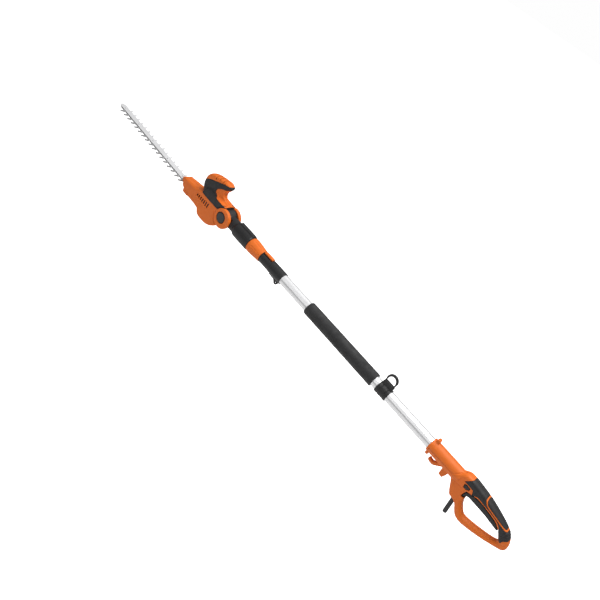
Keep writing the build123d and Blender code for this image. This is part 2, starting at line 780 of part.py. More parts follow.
# Supply cord
with BuildPart() as supply_cord:
    with BuildSketch(CORD.offset(-30)):
        Circle(CORD_R)
    extrude(amount=96)
save(supply_cord, "supply_cord")

# ============================================================== CUTTING HEAD
# Side views are (head x, u), plan views (head x, Y), sections (Y, u).
BODY = [
    (-239, -26.5), (-222, -13.6), (-188, -7.8), (-156, -3.5), (-122, 6), (-112, 35),
    (-9, 35), (-2, 24), (-2, -24), (-11.6, -39.4), (-20.3, -49.7), (-35.8, -62.3),
    (-53.6, -69.9), (-69.5, -71.5), (-89.5, -72.2), (-100.6, -69.6), (-112.1, -56.0),
    (-135, -54.8), (-176, -54.8), (-206, -50.2), (-214, -44.5), (-224, -35.8),
]
HOOK = [
    (-143, -20), (-146, 5), (-147, 20), (-147.5, 33), (-146.5, 45), (-143, 56),
    (-137.5, 66.5), (-129.5, 76), (-118, 84), (-100.4, 92), (-75.5, 98.5),
    (-55.6, 102.2), (-40.6, 101.2), (-34.0, 98.2), (-32.0, 93), (-35.4, 83.5),
    (-43.4, 69.4), (-47.3, 63.4), (-48, 55.4), (-44.8, 48.6), (-36.6, 43), (-30, 34),
    (-60, 0),
]
PAD = [
    (-117, 2.6), (-30, 7.6), (-19, 13), (-10, 33.4), (-69.3, 33.4), (-77.7, 44.4),
    (-77, 55.4), (-64.4, 67.8), (-46.7, 75.5), (-37, 83.4), (-29, 92), (-29, 101),
    (-33.5, 101.5), (-36.4, 96.0), (-51.3, 93.6), (-60.5, 90.6), (-91.7, 75.2),
    (-119.3, 62.2), (-128, 56.0), (-138, 45), (-142, 36), (-140, 10), (-121.5, 6),
]
UNDER_PAD = [(-124, -10), (-119.2, 7), (-109.6, 33.4), (-4, 33.4), (-4, -10)]
# hollows in the hook's mouth, and the larger space kept solid round them
MOUTH = [
    (-79, 49.5), (-69.3, 38.0), (-20, 38), (-20, 92), (-34, 90), (-46.7, 75),
    (-64.4, 67.3), (-76, 56),
]
MOUTH_PLAN = [(-79, 18.6), (-60, 13.5), (-20, 8.5), (-20, 45), (-79, 45)]
MOUTH_KEEP = [
    (-84, 52), (-74, 35), (-20, 35), (-20, 94), (-36, 94), (-52, 79), (-68, 71), (-79, 62),
]
MOUTH_KEEP_PLAN = [(-84, 15.6), (-60, 10.5), (-20, 5.5), (-20, 45), (-84, 45)]
HEAD_PLAN = symmetric([
    (-239.2, -12), (-224, -19), (-170, -23.6), (-120, -HEAD_HALF), (40, -HEAD_HALF),
])
CAVITY_Y = HEAD_HALF - HEAD_WALL
CAVITY_PLAN = symmetric([
    (-230, -8), (-222, -14.5), (-170, -20.6), (-120, -CAVITY_Y), (40, -CAVITY_Y),
])
# what the bevels take off, outside and inside; each is mirrored in Y
SHOULDER = [(14.5, 0.3), (30, -13.0), (30, 15), (14.5, 15)]
CAVITY_SHOULDER = [(10.5, 0), (30, -16.7), (30, 15), (10.5, 15)]
TOP_CORNER = [(19.5, 35.5), (25.5, 29.5), (25.5, 35.5)]
BOTTOM_CORNER = [(17.5, -73), (25.5, -62), (25.5, -73)]
CAVITY_TOP_CORNER = [(15.5, 35.5), (25.5, 25.5), (25.5, 35.5)]
CAVITY_BOTTOM_CORNER = [(13.8, -73), (25.5, -57), (25.5, -73)]

NOSE_SCREW = (-216, -25.5)
BELLY_SCREWS = [(-128, -46), (-30, -50)]
HOOK_SCREWS = [(-143, 50), (-112, 78), (-50, 92)]
HEAD_SCREWS = [NOSE_SCREW, *BELLY_SCREWS, *HOOK_SCREWS]
BOSS_R = 3.4

# Plane across the nose's sloping top, ahead of its tip: local x = Y, local y up
SLOPE = math.radians(11.1)
NOSE_TOP = Plane(
    origin=head_point(-250, -19.1),
    x_dir=(0, 1, 0),
    z_dir=(
        math.cos(SLOPE) * COS_TILT + math.sin(SLOPE) * SIN_TILT, 0,
        -math.cos(SLOPE) * SIN_TILT + math.sin(SLOPE) * COS_TILT,
    ),
)

# Solid hook above the body, rounded along both flanks
with BuildPart() as hook_form:
    with BuildSketch(head_side()):
        outline(HOOK)
    extrude(amount=HOOK_HALF, both=True)
    fillet(hook_form.edges().group_by(Axis.Y)[0] + hook_form.edges().group_by(Axis.Y)[-1], 7)

# Hollows inside the hook's mouth, one on each flank
with BuildPart() as mouth_cut:
    with BuildSketch(head_side()):
        outline(MOUTH)
    extrude(amount=40, both=True)
    with BuildSketch(head_top(0)):
        outline(MOUTH_PLAN)
        outline(flip_y(MOUTH_PLAN))
    extrude(amount=THROUGH, both=True, mode=Mode.INTERSECT)

# The same, grown by the thickness of the wall round them
with BuildPart() as mouth_keep:
    with BuildSketch(head_side()):
        outline(MOUTH_KEEP)
    extrude(amount=40, both=True)
    with BuildSketch(head_top(0)):
        outline(MOUTH_KEEP_PLAN)
        outline(flip_y(MOUTH_KEEP_PLAN))
    extrude(amount=THROUGH, both=True, mode=Mode.INTERSECT)

# Outer form of the head: wedge nose, belly, ears and hook
with BuildPart() as head_envelope:
    with BuildSketch(head_side()):
        outline(BODY)
    extrude(amount=HEAD_HALF, both=True)
    with BuildSketch(head_top(0)):
        outline(HEAD_PLAN)
    extrude(amount=THROUGH, both=True, mode=Mode.INTERSECT)
    # bevelled shoulders along the nose
    with BuildSketch(NOSE_TOP):
        outline(SHOULDER)
        outline(flip_x(SHOULDER))
    extrude(amount=118, mode=Mode.SUBTRACT)
    # bevelled top and bottom edges of the rear block
    for corner in (TOP_CORNER, BOTTOM_CORNER):
        with BuildSketch(head_across(-118)):
            outline(corner)
            outline(flip_x(corner))
        extrude(amount=REAR_BLOCK, mode=Mode.SUBTRACT)
    add(hook_form.part)
    add(mouth_cut.part, mode=Mode.SUBTRACT)
    # ears around the pivot, bevelled at the outer face
    for sign in (1, -1):
        with BuildSketch(head_side(-sign * (EAR_IN - 3))):
            Circle(EAR_R)
        extrude(amount=sign * (EAR_OUT - EAR_IN + 1))
        with BuildSketch(head_side(-sign * (EAR_OUT - EAR_BEVEL))):
            Circle(EAR_R)
        extrude(amount=sign * EAR_BEVEL, taper=45)
    # clear the swing of the knuckle between the ears
    with BuildSketch(head_side()):
        Circle(SLOT_R)
        with Locations((30, 0)):
            Rectangle(60, 2 * SLOT_R)
    extrude(amount=EAR_IN, both=True, mode=Mode.SUBTRACT)
    # button bores through the ears
    for sign in (1, -1):
        with BuildSketch(head_side(-sign * 20)):
            Circle(BUTTON_R + 1)
        extrude(amount=sign * 12, mode=Mode.SUBTRACT)
    with BuildSketch(head_side()):
        Circle(9.6)
    extrude(amount=30, both=True, mode=Mode.SUBTRACT)

# Space inside the head
with BuildPart() as head_cavity:
    with BuildSketch(head_side()):
        outline(BODY)
        offset(amount=-HEAD_WALL, kind=Kind.INTERSECTION)
    extrude(amount=CAVITY_Y, both=True)
    with BuildSketch(head_top(0)):
        outline(CAVITY_PLAN)
    extrude(amount=THROUGH, both=True, mode=Mode.INTERSECT)
    with BuildSketch(NOSE_TOP.offset(-5)):
        outline(CAVITY_SHOULDER)
        outline(flip_x(CAVITY_SHOULDER))
    extrude(amount=126, mode=Mode.SUBTRACT)
    with BuildSketch(head_across(-120)):
        for corner in (CAVITY_TOP_CORNER, CAVITY_BOTTOM_CORNER):
            outline(corner)
            outline(flip_x(corner))
    extrude(amount=REAR_BLOCK, mode=Mode.SUBTRACT)
    with BuildSketch(head_side()):
        outline(HOOK)
        offset(amount=-HOOK_WALL, kind=Kind.INTERSECTION)
    extrude(amount=HOOK_HALF - HOOK_WALL, both=True)
    add(mouth_keep.part, mode=Mode.SUBTRACT)
    # keep a wall round the pivot
    with BuildSketch(head_side()):
        Circle(SLOT_R + 2.5)
    extrude(amount=40, both=True, mode=Mode.SUBTRACT)
    # channel through which the blades leave the nose, wider at its mouth
    with BuildSketch(head_across(-245)):
        with Locations((0, -35.4)):
            Rectangle(29, 8)
    extrude(amount=110)
    with BuildSketch(head_across(-250)):
        with Locations((0, -35.8)):
            Rectangle(62, 8.8)
    extrude(amount=30.2)

# Soft pad over the flanks of the hook and the rear block
with BuildPart() as pad_skin:
    with BuildSketch(head_side()):
        outline(PAD)
    extrude(amount=40, both=True)
    with BuildSketch(head_side()):
        Rectangle(400, 300)
    extrude(amount=HOOK_HALF - PAD_T, both=True, mode=Mode.SUBTRACT)
    with BuildSketch(head_side()):
        outline(UNDER_PAD)
    extrude(amount=HEAD_HALF - PAD_T, both=True, mode=Mode.SUBTRACT)
    with BuildSketch(head_side()):
        Circle(EAR_R + 0.2)
    extrude(amount=40, both=True, mode=Mode.SUBTRACT)

# Head shells
for side_name, half in HALVES:
    with BuildPart() as head_shell:
        add(head_envelope.part)
        add(head_cavity.part, mode=Mode.SUBTRACT)
        # screw bosses
        for centres, boss_half in ((BELLY_SCREWS, 22.6), ([NOSE_SCREW, *HOOK_SCREWS], 16.2)):
            with BuildSketch(head_side()):
                with Locations(*centres):
                    Circle(BOSS_R)
            extrude(amount=boss_half, both=True)
        add(pad_skin.part, mode=Mode.SUBTRACT)
        # row of slanted vents along the flank
        with BuildSketch(head_side()):
            for k in range(7):
                with Locations((-131 + 8.6 * k, -16.5 + 0.35 * k)):
                    SlotOverall(13, 3.0, rotation=-68)
        extrude(amount=40, both=True, mode=Mode.SUBTRACT)
        # three slots over the top of the hook
        with BuildSketch(head_side()):
            with Locations((-105.5, 88.5), (-88, 93), (-71.5, 96.5)):
                Rectangle(3.4, 18, rotation=-6)
        extrude(amount=10, both=True, mode=Mode.SUBTRACT)
        # screw holes, and the recesses for the heads
        with BuildSketch(head_side()):
            with Locations(*HEAD_SCREWS):
                Circle(SCREW_HOLE_R)
        extrude(amount=SCREW_HOLE_HALF, both=True, mode=Mode.SUBTRACT)
        with BuildSketch(head_side(RECESS_START)):
            with Locations(*HEAD_SCREWS):
                Circle(SCREW_RECESS_R)
        extrude(amount=RECESS_START - SCREW_SEAT, mode=Mode.SUBTRACT)
        split(bisect_by=Plane.XZ, keep=half)
    save(head_shell, f"head_shell_{side_name}")

# Soft pads
for side_name, half in HALVES:
    with BuildPart() as head_pad:
        add(head_envelope.part)
        add(pad_skin.part, mode=Mode.INTERSECT)
        with BuildSketch(head_side(RECESS_START)):
            with Locations(*HEAD_SCREWS):
                Circle(SCREW_RECESS_R)
        extrude(amount=RECESS_START - SCREW_SEAT, mode=Mode.SUBTRACT)
        split(bisect_by=Plane.XZ, keep=half)
    save(head_pad, f"head_pad_{side_name}")

# Head screws: shanks, then heads
# radius, left end Y, length
HEAD_SCREW_STEPS = (
    (SCREW_R, -8, 17.4),
    (SCREW_HEAD_R, SCREW_SEAT + 0.2, SCREW_HEAD_T),
)
with BuildPart() as head_screws:
    for radius, start, length in HEAD_SCREW_STEPS:
        with BuildSketch(head_side(start)):
            with Locations(*HEAD_SCREWS):
                Circle(radius)
        extrude(amount=-length)
save(head_screws, "head_screws")

# Push buttons that free the pivot: cap, stem, and a bore clear of the pin
for side_name, sign in (("left", 1), ("right", -1)):
    with BuildPart() as pivot_button:
        with BuildSketch(head_side(-sign * 24.2)):
            Circle(BUTTON_R)
        extrude(amount=sign * 8.0)
        with BuildSketch(head_side(-sign * 12)):
            Circle(9.3)
        extrude(amount=sign * 12.4)
        with BuildSketch(head_side(-sign * 10)):
            Circle(PIN_R + 0.3)
        extrude(amount=sign * 18.2, mode=Mode.SUBTRACT)
        # outer rim
        chamfer(pivot_button.edges().group_by(Axis.Y)[0 if sign > 0 else -1], 1.6)
    save(pivot_button, f"pivot_button_{side_name}")

# Aluminium plate that carries the blade rail and the upper bearings
CASE_PLAN = symmetric([
    (-205, -9), (-170, -15), (-120, -19.5), (-44, -19.5), (-38, -14),
])
with BuildPart() as gear_case:
    with BuildSketch(head_top(CASE_BOTTOM)):
        outline(CASE_PLAN)
    extrude(amount=4.5)
    # bearing bosses
    with BuildSketch(head_top(-27.2)):
        with Locations(MOTOR_AT, GEAR_AT):
            Circle(9)
    extrude(amount=2.2)
    with BuildSketch(head_top(CASE_CUT)):
        with Locations(MOTOR_AT):
            Circle(BEARING_R + BEARING_FIT)
        with Locations(GEAR_AT):
            Circle(BUSH_R + BEARING_FIT)
    extrude(amount=8, mode=Mode.SUBTRACT)
    with BuildSketch(head_top(CASE_CUT)):
        with Locations(*RAIL_BOLTS):
            Circle(BOLT_R + 0.1)
    extrude(amount=8, mode=Mode.SUBTRACT)
save(gear_case, "gear_case")

# Lower gear plate in the belly
PLATE_PLAN = symmetric([(-95, -14), (-90, -15.5), (-50, -15.5), (-48, -12)])
with BuildPart() as gear_plate:
    with BuildSketch(head_top(PLATE_BOTTOM)):
        outline(PLATE_PLAN)
    extrude(amount=PLATE_T)
    with BuildSketch(head_top(-64)):
        with Locations(MOTOR_AT):
            Circle(PLATE_BEARING_R + BEARING_FIT)
        with Locations(GEAR_AT):
            Circle(BUSH_R + BEARING_FIT)
    extrude(amount=5, mode=Mode.SUBTRACT)
save(gear_plate, "gear_plate")

# Bushes of the gear shaft, in the case and in the plate
with BuildPart() as gear_bushes:
    for bottom, height in ((CASE_BOTTOM, 6.5), (PLATE_BOTTOM, 3.2)):
        with BuildSketch(head_top(bottom)):
            with Locations(GEAR_AT):
                Circle(BUSH_R)
                Circle(GEAR_SHAFT_R + RUNNING_FIT, mode=Mode.SUBTRACT)
        extrude(amount=height)
save(gear_bushes, "gear_bushes")

# Bearings of the motor shaft, in the case, the plate and the brush carrier
# bottom u, radius, height
MOTOR_BEARINGS = (
    (CASE_BOTTOM, BEARING_R, 6.5),
    (PLATE_BOTTOM, PLATE_BEARING_R, PLATE_T),
    (26.5, TOP_BEARING_R, 4.0),
)
with BuildPart() as motor_bearings:
    for bottom, radius, height in MOTOR_BEARINGS:
        with BuildSketch(head_top(bottom)):
            with Locations(MOTOR_AT):
                Circle(radius)
                Circle(MOTOR_SHAFT_R + RUNNING_FIT, mode=Mode.SUBTRACT)
        extrude(amount=height)
save(motor_bearings, "motor_bearings")

# Motor, standing upright in the rear block
with BuildPart() as motor_stator:
    with BuildSketch(head_top(-10)):
        with Locations(MOTOR_AT):
            Circle(18)
            Circle(14.4, mode=Mode.SUBTRACT)
    extrude(amount=24)
save(motor_stator, "motor_stator")

# Brush carrier: ring over the commutator, with two brush holders below it
BEARING_SEAT_R = TOP_BEARING_R + 0.05
with BuildPart() as brush_carrier:
    with BuildSketch(head_top(24.3)):
        with Locations(MOTOR_AT):
            Circle(15.5)
            Circle(BEARING_SEAT_R, mode=Mode.SUBTRACT)
    extrude(amount=5.7)
    with BuildSketch(head_top(16.2)):
        with Locations((MOTOR_X + 12.4, 0), (MOTOR_X - 12.4, 0)):
            Rectangle(5.6, 7)
    extrude(amount=8.2)
    with BuildSketch(head_top(24)):
        with Locations(MOTOR_AT):
            Circle(BEARING_SEAT_R)
    extrude(amount=7, mode=Mode.SUBTRACT)
    with BuildSketch(head_top(24.2)):
        with Locations(MOTOR_AT):
            Circle(9)
    extrude(amount=2.0, mode=Mode.SUBTRACT)
save(brush_carrier, "brush_carrier")

# Carbon brushes
with BuildPart() as carbon_brushes:
    with BuildSketch(head_top(17.6)):
        with Locations((MOTOR_X + 8.0, 0), (MOTOR_X - 8.0, 0)):
            Rectangle(2.8, 4)
    extrude(amount=5)
save(carbon_brushes, "carbon_brushes")

# Armature shaft with its pinion
with BuildPart() as armature_shaft:
    with BuildSketch(head_top(-63.8)):
        with Locations(MOTOR_AT):
            Circle(MOTOR_SHAFT_R)
    extrude(amount=94.2)
    with BuildSketch(head_top(-59.2, MOTOR_X)):
        outline(gear_points(PINION_TEETH, 0))
    extrude(amount=6.4)
save(armature_shaft, "armature_shaft")

# Slotted armature core
with BuildPart() as armature_core:
    with BuildSketch(head_top(-9)):
        with Locations(MOTOR_AT):
            Circle(13.9)
            Circle(ON_SHAFT_R, mode=Mode.SUBTRACT)
            with PolarLocations(12.8, 12):
                Rectangle(3.4, 1.6, mode=Mode.SUBTRACT)
    extrude(amount=22)
save(armature_core, "armature_core")

# Commutator
with BuildPart() as commutator:
    with BuildSketch(head_top(16)):
        with Locations(MOTOR_AT):
            Circle(6.5)
            Circle(ON_SHAFT_R, mode=Mode.SUBTRACT)
    extrude(amount=8.5)
save(commutator, "commutator")

# Cooling fan: disc, then hub and slanted vanes
VANE_BOTTOM = -22
with BuildPart() as cooling_fan:
    with BuildSketch(head_top(-23.5)):
        with Locations(MOTOR_AT):
            Circle(17)
            Circle(ON_SHAFT_R, mode=Mode.SUBTRACT)
    extrude(amount=1.6)
    with BuildSketch(head_top(VANE_BOTTOM)):
        with Locations(MOTOR_AT):
            Circle(5)
            Circle(ON_SHAFT_R, mode=Mode.SUBTRACT)
            with PolarLocations(10.5, 9):
                Rectangle(12.4, 1.4, rotation=24)
    extrude(amount=8)
    with BuildSketch(head_top(VANE_BOTTOM)):
        with Locations(MOTOR_AT):
            Circle(ON_SHAFT_R)
    extrude(amount=9, mode=Mode.SUBTRACT)
save(cooling_fan, "cooling_fan")

# Reduction gear, turned half a tooth to mesh with the pinion
with BuildPart() as drive_gear:
    with BuildSketch(head_top(-58.2, GEAR_X)):
        outline(gear_points(GEAR_TEETH, 180.0 / GEAR_TEETH))
        Circle(GEAR_SHAFT_R + 0.02, mode=Mode.SUBTRACT)
        with PolarLocations(12, 6):
            Circle(3, mode=Mode.SUBTRACT)
    extrude(amount=4.6)
save(drive_gear, "drive_gear")

# Gear shaft with an eccentric for each blade, and a thick middle
# bottom u, offset in Y, radius, height
ECCENTRIC_STEPS = (
    (PLATE_BOTTOM, 0, GEAR_SHAFT_R, 38),
    (blade_base(1), THROW, 8, BLADE_T),
    (blade_base(2), -THROW, 8, BLADE_T),
    (-53.4, 0, 6, 10),
)
with BuildPart() as eccentric_shaft:
    for bottom, shift, radius, height in ECCENTRIC_STEPS:
        with BuildSketch(head_top(bottom)):
            with Locations((GEAR_X, shift)):
                Circle(radius)
        extrude(amount=height)
save(eccentric_shaft, "eccentric_shaft")

# Rail above the blades
RAIL_PLAN = [
    (BLADE_TIP + 12, -BAR_HALF), (-106, -BAR_HALF), (-106, BAR_HALF),
    (BLADE_TIP + 10, BAR_HALF), (BLADE_TIP, 4), (BLADE_TIP, -3),
]
with BuildPart() as blade_rail:
    with BuildSketch(head_top(RAIL_BOTTOM)):
        outline(RAIL_PLAN)
    extrude(amount=RAIL_T)
    with BuildSketch(head_top(RAIL_BOTTOM)):
        with Locations(*GUIDE_SCREWS, *RAIL_BOLTS):
            Circle(BOLT_R + 0.05)
    extrude(amount=RAIL_T, mode=Mode.SUBTRACT)
save(blade_rail, "blade_rail")

# Screws that hold the blades to the rail: shanks, heads, nuts underneath
NUT_T = 2.4
with BuildPart() as guide_screws:
    with BuildSketch(head_top(STACK_BOTTOM)):
        with Locations(*GUIDE_SCREWS):
            Circle(BOLT_R)
    extrude(amount=RAIL_T + 2 * BLADE_T + 0.5)
    with BuildSketch(head_top(RAIL_TOP)):
        with Locations(*GUIDE_SCREWS):
            Circle(BOLT_HEAD_R)
    extrude(amount=1.85)
    with BuildSketch(head_top(STACK_BOTTOM - NUT_T)):
        with Locations(*GUIDE_SCREWS):
            RegularPolygon(4.0, 6)
    extrude(amount=NUT_T)
save(guide_screws, "guide_screws")

# Bolts through blades, rail and gear case: shanks, nuts on top, heads underneath
RAIL_BOLT_HEAD_T = 2.0
with BuildPart() as rail_bolts:
    with BuildSketch(head_top(STACK_BOTTOM)):
        with Locations(*RAIL_BOLTS):
            Circle(BOLT_R)
    extrude(amount=12.6)
    with BuildSketch(head_top(RAIL_TOP + 4.9)):
        with Locations(*RAIL_BOLTS):
            RegularPolygon(BOLT_HEAD_R, 6)
    extrude(amount=NUT_T)
    with BuildSketch(head_top(STACK_BOTTOM - RAIL_BOLT_HEAD_T)):
        with Locations(*RAIL_BOLTS):
            Circle(BOLT_HEAD_R)
    extrude(amount=RAIL_BOLT_HEAD_T)
save(rail_bolts, "rail_bolts")

# Two toothed blades that slide against each other
BLADE_HALF = BAR_HALF - 1
BLADE_PLAN = [
    (BLADE_TIP + 15, -BLADE_HALF), (-106, -BLADE_HALF), (-100, -17), (-52, -17), (-50, -15),
    (-50, 15), (-52, 17), (-100, 17), (-106, BLADE_HALF), (BLADE_TIP + 13, BLADE_HALF),
    (BLADE_TIP + 4, 4), (BLADE_TIP + 4, -3),
]
# one tooth on the +Y side: head x from the tooth's station, Y
TOOTH_ROOT = BAR_HALF - 2
TOOTH = [
    (1.8, TOOTH_ROOT), (-2.2, TOOTH_TIP - 1.2), (-1.5, TOOTH_TIP),
    (1.3, TOOTH_TIP), (2.2, TOOTH_TIP - 1.4), (8.2, TOOTH_ROOT),
]
# name, level, shift of the teeth along the head
for blade_name, level, shift in (("upper_blade", 1, -0.5), ("lower_blade", 2, 0.5)):
    with BuildPart() as blade:
        with BuildSketch(head_top(blade_base(level))):
            outline(BLADE_PLAN)
            for k in range(TEETH):
                station = FIRST_TOOTH + PITCH * k + shift
                for sign in (-1, 1):
                    outline([(station + x, sign * y) for x, y in TOOTH])
            # slots for the guide screws and rail bolts
            with Locations(*GUIDE_SCREWS, *RAIL_BOLTS):
                SlotOverall(14, 4.4, mode=Mode.SUBTRACT)
            # window round the eccentric, and the notch round the motor shaft
            with Locations(GEAR_AT):
                Rectangle(32.4, 24.6, mode=Mode.SUBTRACT)
            with Locations((-60, 0)):
                Rectangle(24, 6.4, mode=Mode.SUBTRACT)
        extrude(amount=BLADE_T)
    save(blade, blade_name)

# Orange cover under the nose
NOSE_COVER = [
    (-207, -50.6), (-204, -59), (-201, -60.6), (-182, -61.2), (-177, -60),
    (-173.6, -55.4), (-137, -55.8), (-137, -55.1), (-176, -55.1), (-206, -50.55),
]
with BuildPart() as nose_cover:
    with BuildSketch(head_side()):
        outline(NOSE_COVER)
    extrude(amount=18, both=True)
save(nose_cover, "nose_cover")
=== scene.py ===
# A long-reach cutting tool on a pole. The pole runs along X, with the rear handle at +X
# and the cutting head at -X. Left is -Y and up is +Z. Shapes are worked out in millimetres
# and turned to metres when their meshes are made. The head has a frame of its own, set at
# the pivot and tilted about Y.
import bpy, math
import numpy as np
from functools import reduce
from mathutils import Vector, Matrix

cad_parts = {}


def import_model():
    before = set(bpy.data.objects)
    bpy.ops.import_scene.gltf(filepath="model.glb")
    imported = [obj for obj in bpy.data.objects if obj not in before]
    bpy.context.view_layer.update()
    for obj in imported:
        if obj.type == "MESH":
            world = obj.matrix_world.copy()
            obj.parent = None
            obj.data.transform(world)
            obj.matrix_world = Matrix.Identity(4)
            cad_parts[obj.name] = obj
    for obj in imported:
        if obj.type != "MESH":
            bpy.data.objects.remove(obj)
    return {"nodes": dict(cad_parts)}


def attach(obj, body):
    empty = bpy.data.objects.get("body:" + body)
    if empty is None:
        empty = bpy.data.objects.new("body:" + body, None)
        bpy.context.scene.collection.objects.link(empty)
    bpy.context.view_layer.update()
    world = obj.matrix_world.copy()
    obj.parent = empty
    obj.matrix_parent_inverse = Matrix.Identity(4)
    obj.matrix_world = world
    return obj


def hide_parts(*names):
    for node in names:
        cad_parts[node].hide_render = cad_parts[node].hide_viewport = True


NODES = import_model()["nodes"]
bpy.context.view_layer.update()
SCENE = bpy.context.scene

HEAD_TILT = math.radians(2.0)
PIVOT_X = -961.5
GRID_STEP = 0.8  # spacing of the samples that the moulded shapes are meshed from
MIRROR = np.array([1.0, -1.0, 1.0])


def add_object(name, data):
    thing = bpy.data.objects.new(name, data)
    SCENE.collection.objects.link(thing)
    return thing


def dress(thing, material):
    thing.data.materials.clear()
    thing.data.materials.append(material)


# ------------------------------------------------------------------ shader helpers
def srgb(*channels):
    """Colour given as 0 to 255, made linear."""
    def linear(c):
        return c / 12.92 if c <= 0.04045 else ((c + 0.055) / 1.055) ** 2.4
    return (*(linear(c / 255) for c in channels), 1.0)


def grey(level):
    return (level, level, level, 1)


def scaled(colour, factor):
    return (*(min(c * factor, 1) for c in colour[:3]), 1)


class Nodes:
    """The node tree of a material or a world, emptied and ready to fill."""

    def __init__(self, owner):
        owner.use_nodes = True
        self.tree = owner.node_tree
        self.tree.nodes.clear()

    def link(self, source, target):
        self.tree.links.new(source, target)

    def put(self, target, value):
        """Link a socket, or set a plain value."""
        if isinstance(value, bpy.types.NodeSocket):
            self.link(value, target)
        else:
            target.default_value = value

    def node(self, kind, **settings):
        node = self.tree.nodes.new(kind)
        for key, value in settings.items():
            setattr(node, key, value)
        return node

    def ramp(self, value, stops):
        """Stops are (position, colour)."""
        node = self.node("ShaderNodeValToRGB")
        elements = node.color_ramp.elements
        while len(elements) > 1:
            elements.remove(elements[-1])
        elements[0].position, elements[0].color = stops[0]
        for position, colour in stops[1:]:
            elements.new(position).color = colour
        self.link(value, node.inputs[0])
        return node.outputs[0]


class Shader(Nodes):
    """A material with one Principled shader, patterned in object coordinates."""

    def __init__(self, name):
        self.material = bpy.data.materials.new(name)
        super().__init__(self.material)
        output = self.node("ShaderNodeOutputMaterial")
        self.surface = self.node("ShaderNodeBsdfPrincipled")
        self.link(self.surface.outputs[0], output.inputs[0])
        self.place = self.node("ShaderNodeTexCoord").outputs["Object"]

    def feed(self, channel, value):
        self.put(self.surface.inputs[channel], value)

    def stretched(self, scale):
        node = self.node("ShaderNodeMapping")
        node.inputs["Scale"].default_value = scale
        self.link(self.place, node.inputs["Vector"])
        return node.outputs[0]

    def noise(self, scale, detail=3.0, rough=0.5, vector=None):
        node = self.node("ShaderNodeTexNoise")
        node.inputs["Scale"].default_value = scale
        node.inputs["Detail"].default_value = detail
        node.inputs["Roughness"].default_value = rough
        self.link(vector or self.place, node.inputs["Vector"])
        return node.outputs["Fac"]

    def cells(self, scale):
        node = self.node("ShaderNodeTexVoronoi")
        node.inputs["Scale"].default_value = scale
        self.link(self.place, node.inputs["Vector"])
        return node.outputs["Distance"]

    def geometry(self, output):
        return self.node("ShaderNodeNewGeometry").outputs[output]

    def remap(self, value, span, to):
        node = self.node("ShaderNodeMapRange")
        # Inputs 1 to 4 are from low, from high, to low and to high.
        for index, limit in enumerate((*span, *to), 1):
            node.inputs[index].default_value = limit
        self.link(value, node.inputs[0])
        return node.outputs[0]

    def mix(self, amount, first, second, kind="MIX"):
        node = self.node("ShaderNodeMix", data_type="RGBA", blend_type=kind)
        # Inputs 0, 6 and 7 and output 2 are the ones used for colours.
        for index, value in ((0, amount), (6, first), (7, second)):
            self.put(node.inputs[index], value)
        return node.outputs[2]

    def overlay(self, colour, other, mask, span, amount):
        """Mix in another colour, by as much as the mask over its span gives."""
        return self.mix(self.remap(mask, span, to=amount), colour, other)

    def mottle(self, base, mask, tones, span=(0.3, 0.7)):
        """The base colour, scaled between two tones by a mask."""
        return self.ramp(mask, [(p, scaled(base, tone)) for p, tone in zip(span, tones)])

    def maths(self, operation, *values):
        node = self.node("ShaderNodeMath", operation=operation)
        for socket, value in zip(node.inputs, values):
            self.put(socket, value)
        return node.outputs[0]

    def weighted(self, first, second, weights):
        scaled_first = self.maths("MULTIPLY", first, weights[0])
        return self.maths("MULTIPLY_ADD", second, weights[1], scaled_first)

    def bump(self, height, strength, distance):
        node = self.node("ShaderNodeBump")
        node.inputs["Strength"].default_value = strength
        node.inputs["Distance"].default_value = distance
        self.link(height, node.inputs["Height"])
        self.feed("Normal", node.outputs[0])

    def paint_crease_shade(self, colour):
        """Painted shade: narrow gaps and deep recesses go dark, by ambient occlusion."""
        node = self.node("ShaderNodeAmbientOcclusion", samples=8)
        node.inputs["Distance"].default_value = 0.006
        crease_shade_colour = self.mix(1.0, colour, grey(0.10), "MULTIPLY")
        return self.overlay(colour, crease_shade_colour, node.outputs["AO"], span=(0.25, 0.80), amount=(1.0, 0.0))

    def facing(self, direction):
        """How far the surface faces a direction, from -1 to 1."""
        node = self.node("ShaderNodeVectorMath", operation="DOT_PRODUCT")
        self.link(self.geometry("Normal"), node.inputs[0])
        node.inputs[1].default_value = direction
        return node.outputs["Value"]


# ------------------------------------------------------------------ materials
def plastic(name, base, rough, variation, wear, specular):
    shader = Shader(name)
    blotches = shader.noise(9.0, detail=4.0, rough=0.6)
    colour = shader.mottle(base, blotches, tones=(1 - variation, 1 + variation))
    grain = shader.noise(900.0, detail=2.0)
    colour = shader.overlay(colour, scaled(base, 0.7), grain, span=(0.35, 0.65), amount=(0.0, 0.06))
    # Outer edges take the wear tone, in broken patches.
    edge = shader.remap(shader.geometry("Pointiness"), span=(0.515, 0.60), to=(0.0, 1.0))
    patches = shader.noise(60.0, detail=5.0, rough=0.7)
    patches = shader.remap(patches, span=(0.42, 0.66), to=(0.0, 0.55))
    colour = shader.mix(shader.maths("MULTIPLY", edge, patches), colour, scaled(base, wear))
    # Painted shade in gaps and recesses
    shader.feed("Base Color", shader.paint_crease_shade(colour))
    smears = shader.noise(35.0, detail=4.0, rough=0.6)
    shader.feed("Roughness", shader.remap(smears, span=(0.3, 0.7), to=rough))
    shader.feed("Specular IOR Level", specular)
    relief = shader.weighted(grain, shader.noise(140.0, detail=2.0), weights=(0.6, 0.4))
    shader.bump(relief, strength=0.25, distance=0.00012)
    return shader.material


